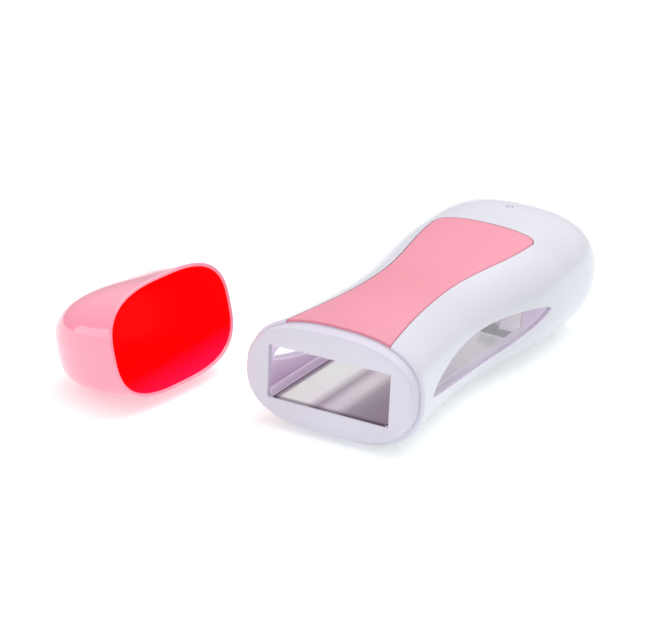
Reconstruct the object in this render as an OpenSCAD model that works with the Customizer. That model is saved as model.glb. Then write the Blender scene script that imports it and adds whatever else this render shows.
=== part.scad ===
// Roll-on wax heater: hourglass hand unit with a cartridge bay heated from below, and its pull-off cap.
// Millimetres. Z up, mouth towards -Y, table at z = 0, origin under the middle of the hand unit.

/* [Body] */
// length of the body from the front shoulder to the rear end
body_len = 178; // [170:1:186]
// width of the body at the front shoulder
front_w = 77.9; // [77:0.1:80]
// how much wider the narrowest place, where the hand holds it, is than the mouth
waist_over = 11.1; // [10.8:0.1:14]
// widest place at the rear
belly_w = 78.9; // [76:0.1:84]
// distance from the shoulder to the waist
waist_y = 62; // [56:1:68]
// distance from the shoulder to the widest rear place
belly_y = 131; // [122:1:135]
// height of the body at the shoulder
front_h = 46.9; // [46.6:0.1:48]
// height of the top at the rear, before the tail rounds off
rear_h = 53.9; // [52:0.1:56]
// distance from the shoulder to where the top starts to rise
rise_y = 33; // [20:1:40]
// distance over which the top would reach its full height
rise_end = 190; // [182:1:200]
// distance from the shoulder to where the tail starts to round off
tail_y = 131.6; // [128:0.1:136]
// height that the tail closes in on
tail_z = 28; // [26:0.1:30]
// squareness of the tail seen from above
tail_plan_n = 3.96; // [3.2:0.01:4.4]
// squareness of the tail seen from the side
tail_side_n = 3.12; // [2.6:0.01:3.6]
// squareness of the cross-section
section_n = 2.54; // [2.4:0.01:2.7]
// shell thickness
wall = 2.2; // [2.0:0.1:2.3]
// how much of the round underside is flattened to stand on
sole_cut = 0.5; // [0.3:0.1:0.8]
// height of the joint line between housing and base pan
parting_z = 8; // [7.5:0.1:8.5]
// radius on the front shoulder edge
shoulder_r = 1.0; // [0.6:0.1:1.4]

/* [Neck and mouth] */
// width of the stepped neck that the cap goes over
neck_w = 74.5; // [74:0.1:75]
// height of the neck
neck_h = 43.1; // [42.6:0.1:43.4]
// height of the neck's centre line above the table
neck_z = 23.8; // [23.6:0.1:24]
// how far the neck stands out of the shoulder
neck_len = 6.0; // [5:0.1:8]
// radius on the front edge of the neck
neck_edge_r = 1.4; // [0.8:0.1:2]
// thickness of the front plate round the mouth
face_t = 2.2; // [1.8:0.1:3]
// width of the mouth
mouth_w = 54; // [53:0.1:56]
// height of the mouth
mouth_h = 22.3; // [21.8:0.1:22.8]

/* [Side windows] */
// distance from the shoulder to the front tip of a window
win_y0 = 11.8; // [11:0.1:14]
// distance from the shoulder to the rear tip of a window
win_y1 = 116.4; // [108:0.1:117]
// height of the front tip
win_z0 = 21.6; // [21:0.1:24]
// height of the rear tip
win_z1 = 25.7; // [25:0.1:28]
// bulge of the upper edge above the line between the tips
win_up = 8.4; // [7:0.1:8.6]
// bulge of the lower edge below that line
win_down = 7.9; // [6:0.1:8]
// thickness of the clear pane
pane_t = 1.8; // [1.4:0.1:2]

/* [Grip panel] */
// half-width of the panel where it meets the shoulder
panel_front = 23.1; // [21:0.1:24]
// half-width of the panel at the waist
panel_waist = 15.9; // [14:0.1:18]
// half-width of the panel near its rear end
panel_rear = 23.6; // [21:0.1:25]
// distance from the shoulder to the rear edge of the panel
panel_len = 129.2; // [120:0.1:131]
// corner radius at the rear of the panel
panel_r = 4; // [2:0.5:6]
// thickness of the panel
panel_t = 1.2; // [0.8:0.1:1.2]

/* [Cartridge bay] */
// depth of the bay from the shoulder
bay_len = 113; // [110:1:114]
// thickness of the bay tray
bay_t = 1.1; // [1:0.1:1.2]
// flat top of the tray's rails beside the heated plate
rail_w = 1; // [0.8:0.1:3]
// height of the tray's fences outside the rails
fence_h = 3; // [1:0.1:4]
// length of the heated plate
plate_len = 108.3; // [100:0.1:109]

/* [Lamp and inlet] */
// distance from the shoulder to the lamp
lamp_y = 151.8; // [149:0.1:153]
// radius of the lamp
lamp_r = 1.5; // [1.4:0.1:1.6]
// radius of an inlet pin
pin_r = 1.18; // [1.15:0.01:1.2]
// free length of an inlet pin
pin_len = 9; // [8:0.5:9.5]

/* [Cap] */
// half-width of the cap at its rim
cap_a = 39.2; // [38.8:0.1:39.6]
// half-height of the cap at its rim
cap_b = 23.2; // [23.2:0.1:24]
// depth of the cap
cap_d = 47; // [44:0.5:54]
// how much the half-width falls towards the closed end
cap_taper_w = 0.5; // [0:0.5:8]
// how much the half-height falls towards the closed end
cap_taper_h = 0.5; // [0:0.5:4]
// squareness of the closed end
cap_dome_n = 2.8; // [2.4:0.1:4]
// squareness of the cap's cross-section
cap_n = 2.9; // [2.5:0.01:3.2]
// wall of the cap
cap_t = 1.5; // [1.3:0.1:1.5]
// place of the rim's centre on the table, across
cap_x = -75.3; // [-90:0.1:-74]
// place of the rim's centre on the table, along
cap_y = -84.7; // [-100:0.1:-70]
// turn of the cap's mouth away from the hand unit's side
cap_turn = -5; // [-20:0.1:10]
// lean of the cap as it rests on its wide side
cap_lean = 15; // [8:0.5:18]

/* [Detail] */
// points round a cross-section of a moulded shell
ring_points = 36; // [24:4:72]
// cross-sections along the straight part of the body
body_steps = 11; // [8:1:20]
// cross-sections along the tail
tail_steps = 9; // [6:1:14]

/* [Hidden] */
$fn = 40;
fit = 0.15;
eps = 0.01;
waist_w = mouth_w + waist_over;
bay_w = mouth_w - 1.6;
mid_y = (body_len - neck_len) / 2;
mouth_z0 = neck_z - mouth_h / 2;
lip = 3;
spigot_end = 9.5;
bay_top = mouth_z0 + mouth_h;
// the tray's rails beside the plate, with a low fence outside
tray_y0 = -neck_len + face_t + 0.1;
tray_half = bay_w / 2 + bay_t;
rear_wall_half = tray_half - 0.3;
rail_end = bay_len + bay_t / 2;
rail_in = bay_w / 2 - rail_w;
rail_edge = 0.6;
plate_gap = 0.4;
plate_w = 2 * (rail_in - plate_gap);
// ribs under the roof that keep the cartridge down
roof_rib_x = 15;
roof_rib_t = 1.2;
// the panes lie between these distances from the middle, and end before this station
pane_in = waist_w / 4;
pane_out = front_w * 0.65;
pane_end = win_y1 + 35;
// the plate and the heater stack under it, from the bay floor down
plate_y0 = tray_y0 + plate_gap;
lip_t = 0.6;
// leaf springs on the bay's rear wall
leaf_x = 15.5;
leaf_w = 7;
leaf_t = 0.5;
leaf_reach = 11.5;
leaf_z = mouth_z0 + 0.8;
plate_end = plate_y0 + plate_len;
rear_wall_z = mouth_z0 - bay_t - 0.5;
flange_t = 1.2;
flange_side = 1.2;
plate_post_x = plate_w / 2 - 3.2;
plate_top = mouth_z0 - 0.1;
flange_top = mouth_z0 - bay_t;
plate_bot = flange_top - flange_t;
ptc_w = 15;
ptc_t = 2.2;
strip_t = 0.3;
film_t = 0.15;
heater_y0 = 46;
heater_len = 32;
stack_h = ptc_t + 2 * strip_t + 2 * film_t;
stack_z = plate_bot - stack_h;
clamp_t = 1.0;
clamp_over = 7;
clamp_w = 13;
clamp_head = 1.1;
clamp_end = 3;
clamp_boss_r = 2.6;
clamp_y = [heater_y0 - clamp_over + clamp_end, heater_y0 + heater_len + clamp_over - clamp_end];
// two heater chips in a row
chip_len = 13;
chip_gap = 2;
tag_w = 3.8;
tag_len = 6;
tag_x = 3;
shield_z = 4.2;
shield_t = 0.4;
shield_w = 2 * plate_post_x - 11;
shield_y0 = spigot_end + 4.5;
shield_len = plate_end - 5 - shield_y0;
// thermostat and thermal fuse against the plate's underside
thermo_w = 8;
thermo_len = 20;
thermo_h = 4;
thermo_y0 = spigot_end + 3.5;
thermo_tag = 2.5;
fuse_r = 2;
fuse_len = 11;
fuse_y0 = 85;
fuse_wire_r = 0.5;
fuse_wire_y0 = 81;
fuse_wire_len = 20;
// screw places of the base pan
front_screw_x = 17;
front_screw_y = 6.2;
rear_screw_x = 22;
rear_screw_y = 146;
front_pad_z = 5.4;
rear_pad_z = parting_z;
boss_top = plate_bot - 0.2;
head_gap = 2.0;
head_r = 2.6;
head_h = 1.5;
shank_r = 1.15;
pilot_r = 1.18;
post_r = 3;
// mains inlet, with the pin spacing that its plug has
pin_pitch = 8.6;
inlet_z = 28;
inlet_w = 20.2;
inlet_h = 12.2;
inlet_face = body_len - 1.2;
inlet_len = 20;
inlet_floor = 10;
inlet_r = 3;
pin_back = inlet_face - inlet_len - 4;
// joints of the mains and lamp leads
crimp_x = 11.5;
crimp_y = 128;
crimp_z = 12;
crimp_r = 2.6;
crimp_len = 9;
lead_r = 0.8;
lead_z = plate_bot - fuse_r;
lead_bend = 5;
lead_run = 12;
// lamp board, hung under the roof of the tail
roof_z = tail_z + (top_z(lamp_y) - tail_z) * closing(tail_u(lamp_y, 0), tail_side_n);
lamp_len = 4.9;
board_z = roof_z - 7.3;
board_t = 1.2;
board_w = 26;
board_y0 = lamp_y - 9;
board_len = 16;
// grip panel: where its skin is cut off behind it, and its pegs
panel_end = panel_len + 20;
peg_x = 10;
peg_r = 1.5;
peg_len = 3.4;
peg_y = [24, 92];

// ---- outline functions, y counted from the shoulder ----
function clip(v, a, b) = max(a, min(b, v));
function ease(s) = (1 - cos(180 * clip(s, 0, 1))) / 2;
function sgnpow(v, p) = sign(v) * pow(abs(v), p);
function plan_w(y) = y < waist_y
    ? waist_w + (front_w - waist_w) * (1 - sin(90 * clip(y / waist_y, 0, 1)))
    : waist_w + (belly_w - waist_w) * ease((y - waist_y) / (belly_y - waist_y));
function top_z(y) = front_h + (rear_h - front_h) * ease((y - rise_y) / (rise_end - rise_y));
function tail_u(y, off) = clip((y - tail_y) / (body_len - off - tail_y), 0, 1);
function closing(u, n) = pow(max(0, 1 - pow(u, n)), 1 / n);
function front_round(y) = y < shoulder_r
    ? shoulder_r - sqrt(shoulder_r * shoulder_r - pow(shoulder_r - max(y, 0), 2))
    : 0;

// one closed cross-section: half-width a, half-height b, centre height c
function section(a, b, c, y, n) = [for (i = [0 : ring_points - 1])
    let (t = 360 * i / ring_points)
    [a * sgnpow(cos(t), 2 / n), y, c + b * sgnpow(sin(t), 2 / n)]];

// the body's cross-section, moved inwards by off
function body_section(y, off) =
    let (u = tail_u(y, off),
         edge = off == 0 ? front_round(y) : 0,
         top = tail_z + (top_z(y) - tail_z) * closing(u, tail_side_n),
         bot = tail_z + (-sole_cut - tail_z) * closing(u, tail_side_n))
    section(plan_w(y) / 2 * closing(u, tail_plan_n) - off - edge, (top - bot) / 2 - off - edge,
        (top + bot) / 2, y, section_n);

// stations along the body, closer together where it curves
function tail_stations(off) = [for (i = [0 : tail_steps])
    tail_y + (body_len - off - tail_y) * min(0.9992, 1 - pow(1 - i / tail_steps, 2.2))];
function stations(off) = off == 0
    ? concat([0, 0.3, 1.0], [for (i = [1 : body_steps - 1]) tail_y * i / body_steps], tail_stations(off))
    : concat([-1], [for (i = [1 : body_steps - 1]) tail_y * i / body_steps], tail_stations(off));

// a solid between two neighbouring cross-sections
module between(a, b) {
    n = len(a);
    hull()
        polyhedron(points = concat(a, b), faces = concat(
            [[for (i = [n - 1 : -1 : 0]) i]],
            [[for (i = [0 : n - 1]) n + i]],
            [for (i = [0 : n - 1]) [i, (i + 1) % n, n + (i + 1) % n, n + i]]));
}

module body_form(off = 0, y_from = -2, y_to = 400) {
    s = [for (y = stations(off)) if (y >= y_from && y <= y_to) y];
    for (i = [0 : len(s) - 2])
        between(body_section(s[i], off), body_section(s[i + 1], off));
}

// straight bar with the neck's outline, made smaller all round by inset
module neck_bar(inset, y0, y1) {
    between(section(neck_w / 2 - inset, neck_h / 2 - inset, neck_z, y0, section_n),
        section(neck_w / 2 - inset, neck_h / 2 - inset, neck_z, y1, section_n));
}

// window outline in side view, shrunk (or grown when negative) by g
function win_up_z(s) = win_up * pow(max(0, sin(180 * pow(s, 0.8))), 0.62);
function win_down_z(s) = win_down * pow(max(0, sin(180 * pow(s, 1.21))), 0.67);
function win_edge(s, dir, g) =
    let (chord = win_z0 + (win_z1 - win_z0) * s)
    [win_y0 + g + (win_y1 - win_y0 - 2 * g) * s,
        dir > 0 ? chord + max(0.7, win_up_z(s) - g) : chord - max(0.7, win_down_z(s) - g)];
win_steps = 18;
function win_outline(g) = concat(
    [for (i = [0 : win_steps]) win_edge((1 - cos(180 * i / win_steps)) / 2, -1, g)],
    [for (i = [win_steps : -1 : 0]) win_edge((1 - cos(180 * i / win_steps)) / 2, 1, g)]);

// prism across the body with a side-view outline, from x0 to x1
module across(x0, x1) {
    translate([x0, 0, 0])
        rotate([90, 0, 90])
            linear_extrude(x1 - x0)
                children();
}

// grip panel outline in plan, grown by g
function panel_half(y) = y < waist_y
    ? panel_waist + (panel_front - panel_waist) * (1 - sin(90 * clip(y / waist_y, 0, 1)))
    : panel_waist + (panel_rear - panel_waist) * ease((y - waist_y) / (panel_len - waist_y));
panel_steps = 16;
function corner(t) = [panel_half(panel_len) - panel_r + panel_r * cos(t),
    panel_len - panel_r + panel_r * sin(t)];
function panel_right() = concat(
    [for (i = [0 : panel_steps]) let (y = (panel_len - panel_r) * i / panel_steps) [panel_half(y), y]],
    [for (t = [22.5 : 22.5 : 90]) corner(t)]);
module panel_outline(g) {
    right = panel_right();
    grown = [for (p = right) [p[0] + g, p[1] + (p[1] > panel_len - panel_r ? g : 0)]];
    polygon(concat([[grown[0][0], -1]], grown,
        [for (i = [len(grown) - 1 : -1 : 0]) [-grown[i][0], grown[i][1]]],
        [[-grown[0][0], -1]]));
}

// moves what is drawn from shoulder coordinates to the part's own frame
module placed() {
    translate([0, -mid_y, 0])
        children();
}

module tube_x(r, len) {
    rotate([0, 90, 0])
        cylinder(r = r, h = len, center = true);
}

// ---- housing ----
module main_shell() {
    color([0.93, 0.92, 0.96])
        placed() {
            difference() {
                union() {
                    difference() {
                        body_form();
                        body_form(off = wall);
                        neck_bar(-fit, -2, lip);
                        // rebate that the base pan's tongue goes into
                        intersection() {
                            body_form(off = wall * 0.55);
                            translate([-60, -1, parting_z - 1])
                                cube([120, body_len + 2, 2.8]);
                        }
                    }
                    // screw posts and lamp board posts, cut to the inside of the shell
                    intersection() {
                        union() {
                            for (x = [-rear_screw_x, rear_screw_x])
                                translate([x, rear_screw_y, rear_pad_z])
                                    cylinder(r = post_r, h = 60);
                            for (x = [-9, 9]) {
                                translate([x, lamp_y - 5.5, board_z + board_t])
                                    cylinder(r = 2, h = 20);
                                translate([x, lamp_y - 5.5, board_z - 0.8])
                                    cylinder(r = 0.85, h = 4, $fn = 20);
                            }
                            for (x = [-roof_rib_x, roof_rib_x])
                                translate([x - roof_rib_t / 2, 0, bay_top + fit])
                                    cube([roof_rib_t, bay_len + bay_t, rear_h]);
                            // two ribs that hold the inlet socket
                            for (x = [-inlet_w / 2 - 1.2, inlet_w / 2])
                                translate([x, inlet_face - 16, inlet_z - 4])
                                    cube([1.2, 14.8, 40]);
                        }
                        body_form(off = wall / 2, y_from = lip);
                    }
                }
                translate([-60, -5, -5])
                    cube([120, body_len + 10, parting_z + 5]);
                across(-60, 60)
                    polygon(win_outline(0));
                // recess for the grip panel
                intersection() {
                    difference() {
                        translate([0, 0, front_h / 2])
                            linear_extrude(rear_h)
                                panel_outline(fit);
                        body_form(off = panel_t, y_to = panel_end);
                    }
                    translate([-front_w / 2, -2, front_h / 2])
                        cube([front_w, panel_len + 4, rear_h]);
                }
                for (x = [-peg_x, peg_x])
                    for (y = peg_y)
                        translate([x, y, top_z(y) - 9])
                            cylinder(r = peg_r + 0.1, h = 20, $fn = 24);
                translate([0, lamp_y, board_z])
                    cylinder(r = lamp_r + 0.1, h = 20, $fn = 32);
                for (x = [-rear_screw_x, rear_screw_x])
                    translate([x, rear_screw_y, rear_pad_z - 1])
                        cylinder(r = pilot_r, h = 13, $fn = 24);
                // opening for the mains inlet
                translate([0, inlet_face - 3, inlet_z])
                    rotate([-90, 0, 0])
                        linear_extrude(10)
                            rounded(inlet_w + 2 * fit, inlet_h + 2 * fit, inlet_r);
            }
        }
}

module rounded(w, h, r) {
    square([w - 2 * r, h], center = true);
    square([w, h - 2 * r], center = true);
    for (x = [-1, 1])
        for (y = [-1, 1])
            translate([x * (w / 2 - r), y * (h / 2 - r)])
                circle(r = r);
}

module base_shell() {
    color([0.92, 0.91, 0.95])
        placed() {
            difference() {
                union() {
                    intersection() {
                        difference() {
                            body_form();
                            body_form(off = wall);
                            neck_bar(-fit, -2, lip);
                        }
                        translate([-60, -1, 0])
                            cube([120, body_len + 2, parting_z]);
                    }
                    // tongue inside the joint line
                    intersection() {
                        difference() {
                            body_form(off = wall * 0.55 + 0.1);
                            body_form(off = wall);
                        }
                        translate([-60, lip + 0.2, parting_z - 2])
                            cube([120, body_len, 3.5]);
                    }
                    // screw pads, ribs under the heat shield and posts under the plate
                    intersection() {
                        union() {
                            for (x = [-front_screw_x, front_screw_x])
                                translate([x, front_screw_y, 0])
                                    cylinder(r = 4.2, h = front_pad_z);
                            for (x = [-rear_screw_x, rear_screw_x])
                                translate([x, rear_screw_y, 0])
                                    cylinder(r = 4.4, h = rear_pad_z);
                            for (y = [shield_y0 + 13, shield_y0 + shield_len - 3])
                                translate([-shield_w / 2 + 2, y, 0])
                                    cube([shield_w - 4, 2, shield_z]);
                            for (x = [-plate_post_x, plate_post_x])
                                for (y = [spigot_end + 6.5, plate_end - 9])
                                    translate([x, y, 0])
                                        cylinder(r = 1.3, h = plate_bot, $fn = 24);
                        }
                        body_form(off = wall / 2);
                    }
                }
                for (x = [-front_screw_x, front_screw_x])
                    translate([x, front_screw_y, 0])
                        screw_hole(front_pad_z);
                for (x = [-rear_screw_x, rear_screw_x])
                    translate([x, rear_screw_y, 0])
                        screw_hole(rear_pad_z);
            }
        }
}

module screw_hole(pad_z) {
    translate([0, 0, -1])
        cylinder(r = head_r + 0.2, h = pad_z - head_gap + 1, $fn = 28);
    translate([0, 0, -1])
        cylinder(r = 1.4, h = pad_z + 2, $fn = 24);
}

module front_collar() {
    color([0.89, 0.87, 0.92])
        placed() {
            difference() {
                union() {
                    difference() {
                        union() {
                            neck_front();
                            neck_bar(0, -neck_len + neck_edge_r, lip - 0.1);
                        }
                        neck_bar(1.8, -neck_len + face_t, lip + 1);
                    }
                    // spigot that sits inside the shell behind the shoulder
                    intersection() {
                        difference() {
                            body_form(off = wall + fit, y_to = 60);
                            body_form(off = wall + fit + 1.3, y_to = 60);
                        }
                        translate([-60, 0.5, -5])
                            cube([120, spigot_end - 0.5, 60]);
                    }
                    // bosses for the two front screws
                    for (x = [-front_screw_x, front_screw_x]) {
                        translate([x, front_screw_y, front_pad_z])
                            cylinder(r = 2.9, h = boss_top - front_pad_z, $fn = 28);
                        translate([x - 0.8, -1, 3.4])
                            cube([1.6, front_screw_y, boss_top - 3.5]);
                    }
                }
                translate([-mouth_w / 2, -20, mouth_z0])
                    cube([mouth_w, 60, mouth_h]);
                // the lip in front of the plate is cut back from behind
                across(-rail_in, rail_in)
                    polygon([[-neck_len + lip_t, mouth_z0 + eps], [-neck_len + face_t + eps, mouth_z0 + eps],
                        [-neck_len + face_t + eps, mouth_z0 - 2]]);
                for (x = [-front_screw_x, front_screw_x]) {
                    translate([x, front_screw_y, -1])
                        cylinder(r = 4.4, h = front_pad_z + 1, $fn = 28);
                    translate([x, front_screw_y, 0])
                        cylinder(r = pilot_r, h = boss_top - 0.5, $fn = 24);
                }
            }
        }
}

// rounded front edge of the neck, in steps
module neck_front() {
    steps = 4;
    for (i = [0 : steps - 1]) {
        t0 = 90 * i / steps;
        t1 = 90 * (i + 1) / steps;
        between(neck_ring(t0), neck_ring(t1));
    }
}
function neck_ring(t) =
    let (inset = neck_edge_r * (1 - sin(t)), y = -neck_len + neck_edge_r * (1 - cos(t)))
    section(neck_w / 2 - inset, neck_h / 2 - inset, neck_z, y, section_n);

module grip_panel() {
    color([0.99, 0.66, 0.73])
        placed() {
            intersection() {
                difference() {
                    body_form(off = 0, y_to = panel_end);
                    body_form(off = panel_t - 0.05, y_to = panel_end);
                }
                translate([0, 0, front_h / 2])
                    linear_extrude(rear_h)
                        intersection() {
                            panel_outline(0);
                            translate([-front_w / 2, 0.4])
                                square([front_w, panel_len]);
                        }
            }
            for (x = [-peg_x, peg_x])
                for (y = peg_y)
                    translate([x, y, top_z(y) - panel_t - peg_len])
                        cylinder(r = peg_r, h = peg_len, $fn = 24);
        }
}

// a clear pane with a thin flange behind the shell wall
module window_right() {
    color([0.72, 0.72, 0.78, 0.45])
        placed()
            pane(1);
}

module window_left() {
    color([0.72, 0.72, 0.78, 0.45])
        placed()
            pane(-1);
}

module pane(side) {
    intersection() {
        difference() {
            body_form(off = wall - pane_t, y_to = pane_end);
            body_form(off = wall + 0.4, y_to = pane_end);
        }
        across(side > 0 ? pane_in : -pane_out, side > 0 ? pane_out : -pane_in)
            polygon(win_outline(0.12));
    }
    intersection() {
        difference() {
            body_form(off = wall + 0.03, y_to = pane_end);
            body_form(off = wall + 0.8, y_to = pane_end);
        }
        across(side > 0 ? pane_in : -pane_out, side > 0 ? pane_out : -pane_in)
            polygon(win_outline(-0.8));
    }
}

// ---- cartridge bay ----
// cross-section of a rail, on the right (1) or left (-1)
function rail_profile(side) = [for (p = [
    [rail_in, flange_top], [rail_in, mouth_z0 - rail_edge], [rail_in + rail_edge, mouth_z0],
    [bay_w / 2, mouth_z0], [bay_w / 2, mouth_z0 + fence_h], [tray_half, mouth_z0 + fence_h],
    [tray_half, flange_top]]) [side * p[0], p[1]]];

module bay_tray() {
    color([0.84, 0.82, 0.88])
        placed()
            difference() {
                union() {
                    for (side = [-1, 1])
                        translate([0, rail_end, 0])
                            rotate([90, 0, 0])
                                linear_extrude(rail_end - tray_y0)
                                    polygon(rail_profile(side));
                    // floor behind the plate
                    translate([-rail_in - 1, plate_end + plate_gap, flange_top + 0.2])
                        cube([2 * rail_in + 2, rail_end - plate_end, bay_t / 2]);
                    // rear wall that carries the spring
                    translate([-rear_wall_half, bay_len, rear_wall_z])
                        cube([2 * rear_wall_half, bay_t, bay_top + fit - rear_wall_z]);
                }
                // holes for the rivets of the leaves
                for (x = [-leaf_x, leaf_x])
                    translate([x, bay_len - 1, neck_z])
                        rotate([-90, 0, 0])
                            cylinder(r = 1.1, h = 4);
            }
}

// two bent leaves that keep the cartridge pushed towards the mouth
module cartridge_spring() {
    color([0.45, 0.45, 0.48])
        placed()
            for (x = [-leaf_x, leaf_x]) {
                across(x - leaf_w / 2, x + leaf_w / 2)
                    polygon([[bay_len, neck_z + 4], [bay_len, neck_z - 4],
                        [bay_len - leaf_reach + 4, leaf_z], [bay_len - leaf_reach, leaf_z + 2.4],
                        [bay_len - leaf_reach + 0.3, leaf_z + 2.8],
                        [bay_len - leaf_reach + 4.2, leaf_z + 0.5],
                        [bay_len - leaf_t, neck_z - 3.8], [bay_len - leaf_t, neck_z + 4]]);
                translate([x, bay_len - 0.2, neck_z])
                    rotate([-90, 0, 0])
                        cylinder(r = 1.05, h = 2);
                translate([x, bay_len + bay_t, neck_z])
                    rotate([-90, 0, 0])
                        cylinder(r = 2, h = 0.7);
            }
}

module heater_plate() {
    color([0.78, 0.78, 0.8])
        placed()
            difference() {
                union() {
                    translate([-plate_w / 2, plate_y0, flange_top - eps])
                        cube([plate_w, plate_len, plate_top - flange_top + eps]);
                    translate([-plate_w / 2 - flange_side, plate_y0, plate_bot])
                        cube([plate_w + 2 * flange_side, plate_len + flange_side, flange_t]);
                    // channel that holds the heater stack
                    for (x = [-ptc_w / 2 - film_t - 1.6, ptc_w / 2 + film_t + 0.4])
                        translate([x, heater_y0, stack_z + 0.4])
                            cube([1.2, heater_len, stack_h]);
                    for (y = clamp_y)
                        translate([0, y, stack_z])
                            cylinder(r = clamp_boss_r, h = stack_h + eps);
                }
                for (y = clamp_y)
                    translate([0, y, stack_z - 1])
                        cylinder(r = 1.0, h = stack_h + 2);
            }
}

module ptc_chips() {
    color([0.35, 0.3, 0.3])
        placed()
            for (y = [heater_y0 + chip_gap, heater_y0 + heater_len - chip_gap - chip_len])
                translate([-ptc_w / 2 + 0.4, y, stack_z + film_t + strip_t])
                    cube([ptc_w - 0.8, chip_len, ptc_t]);
}

module contact_strips() {
    color([0.83, 0.7, 0.42])
        placed() {
            translate([-ptc_w / 2, heater_y0 + 1, stack_z + film_t])
                cube([ptc_w, heater_len - 2, strip_t]);
            translate([-ptc_w / 2, heater_y0 + 1, stack_z + film_t + strip_t + ptc_t])
                cube([ptc_w, heater_len - 2, strip_t]);
            // tags for the leads, the lower one at the front and the upper one at the rear
            translate([tag_x, heater_y0 + 1 - tag_len, stack_z + film_t])
                cube([tag_w, tag_len + eps, strip_t]);
            translate([tag_x, heater_y0 + heater_len - 1 - eps, stack_z + film_t + strip_t + ptc_t])
                cube([tag_w, tag_len, strip_t]);
        }
}

module insulating_film() {
    color([0.85, 0.55, 0.2])
        placed()
            difference() {
                translate([-ptc_w / 2 - film_t, heater_y0, stack_z])
                    cube([ptc_w + 2 * film_t, heater_len, stack_h]);
                translate([-ptc_w / 2, heater_y0 - 1, stack_z + film_t])
                    cube([ptc_w, heater_len + 2, stack_h - 2 * film_t]);
            }
}

module clamp_bar() {
    color([0.7, 0.71, 0.73])
        placed()
            difference() {
                translate([-clamp_w / 2, heater_y0 - clamp_over, stack_z - clamp_t])
                    cube([clamp_w, heater_len + 2 * clamp_over, clamp_t]);
                for (y = clamp_y)
                    translate([0, y, stack_z - clamp_t - 1])
                        cylinder(r = 1.15, h = clamp_t + 2);
            }
}

module clamp_screws() {
    color([0.6, 0.6, 0.62])
        placed()
            for (y = clamp_y)
                translate([0, y, stack_z - clamp_t]) {
                    translate([0, 0, -clamp_head])
                        cylinder(r = 2.1, h = clamp_head);
                    translate([0, 0, -clamp_head / 2])
                        cylinder(r = 0.98, h = clamp_head / 2 + clamp_t + stack_h - 0.2);
                }
}

module heat_shield() {
    color([0.8, 0.76, 0.66])
        placed()
            translate([-shield_w / 2, shield_y0, shield_z])
                cube([shield_w, shield_len, shield_t]);
}

module thermostat() {
    color([0.72, 0.72, 0.74])
        placed() {
            translate([-thermo_w / 2, thermo_y0, plate_bot - thermo_h])
                cube([thermo_w, thermo_len, thermo_h]);
            translate([-thermo_tag, thermo_y0 + thermo_len - eps, plate_bot - thermo_h + 1])
                cube([2 * thermo_tag, thermo_tag, thermo_h - 2]);
        }
}

module thermal_fuse() {
    color([0.8, 0.74, 0.6])
        placed()
            translate([-crimp_x, fuse_y0, lead_z])
                rotate([-90, 0, 0]) {
                    cylinder(r = fuse_r, h = fuse_len);
                    translate([0, 0, fuse_wire_y0 - fuse_y0])
                        cylinder(r = fuse_wire_r, h = fuse_wire_len);
                }
}

// ---- inlet, lamp and wiring ----
module inlet_socket() {
    color([0.16, 0.16, 0.17])
        placed()
            difference() {
                translate([0, inlet_face - inlet_len, inlet_z])
                    rotate([-90, 0, 0])
                        linear_extrude(inlet_len)
                            rounded(inlet_w, inlet_h, inlet_r);
                // figure-eight recess
                translate([0, inlet_face - inlet_floor, inlet_z])
                    rotate([-90, 0, 0])
                        linear_extrude(inlet_floor + 1) {
                            for (x = [-pin_pitch / 2, pin_pitch / 2])
                                translate([x, 0])
                                    circle(r = 4.2);
                            square([pin_pitch, 6.6], center = true);
                        }
                for (x = [-pin_pitch / 2, pin_pitch / 2])
                    translate([x, inlet_face - inlet_len - 1, inlet_z])
                        rotate([-90, 0, 0])
                            cylinder(r = 0.9, h = inlet_len);
            }
}

module inlet_pins() {
    color([0.85, 0.83, 0.78])
        placed()
            for (x = [-pin_pitch / 2, pin_pitch / 2])
                translate([x, inlet_face - inlet_floor, inlet_z])
                    rotate([-90, 0, 0]) {
                        cylinder(r = pin_r, h = pin_len);
                        translate([0, 0, -inlet_len + inlet_floor - 4])
                            cylinder(r = 0.9, h = inlet_len - inlet_floor + 4 + eps);
                    }
}

module lamp_board() {
    color([0.2, 0.42, 0.26])
        placed()
            difference() {
                translate([-board_w / 2, board_y0, board_z])
                    cube([board_w, board_len, board_t]);
                for (x = [-9, 9])
                    translate([x, lamp_y - 5.5, board_z - 1])
                        cylinder(r = 0.9, h = board_t + 2);
            }
}

module lamp() {
    color([0.7, 0.69, 0.75])
        placed()
            translate([0, lamp_y, board_z + board_t]) {
                cylinder(r = lamp_r + 0.4, h = 1);
                cylinder(r = lamp_r, h = lamp_len);
                translate([0, 0, lamp_len])
                    difference() {
                        sphere(r = lamp_r);
                        translate([-5, -5, -10])
                            cube([10, 10, 10]);
                    }
            }
}

module dropper_resistor() {
    color([0.75, 0.65, 0.48])
        placed()
            translate([0, board_y0 + 2, board_z + board_t + 1.2]) {
                tube_x(1.2, 6.4);
                tube_x(0.3, 9);
                for (x = [-4.4, 4.4])
                    translate([x, 0, -1.2])
                        cylinder(r = 0.3, h = 1.2);
            }
}

module rectifier_diode() {
    color([0.13, 0.13, 0.13])
        placed()
            translate([6.5, lamp_y + 2, board_z + board_t + 1.3]) {
                tube_x(1.3, 5);
                tube_x(0.35, 7.6);
                for (x = [-3.6, 3.6])
                    translate([x, 0, -1.3])
                        cylinder(r = 0.35, h = 1.3);
            }
}

// one straight stretch of lead
module rod(a, b, r) {
    d = b - a;
    l = norm(d);
    translate(a)
        rotate([0, acos(d[2] / l), atan2(d[1], d[0])])
            cylinder(r = r, h = l, $fn = 8);
}

// a lead that bends at each point, with a slightly thicker bend
module lead(pts, r) {
    for (i = [0 : len(pts) - 2])
        rod(pts[i], pts[i + 1], r);
    for (i = [1 : len(pts) - 2])
        translate(pts[i])
            sphere(r = r * 1.2, $fn = 8);
}

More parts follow.
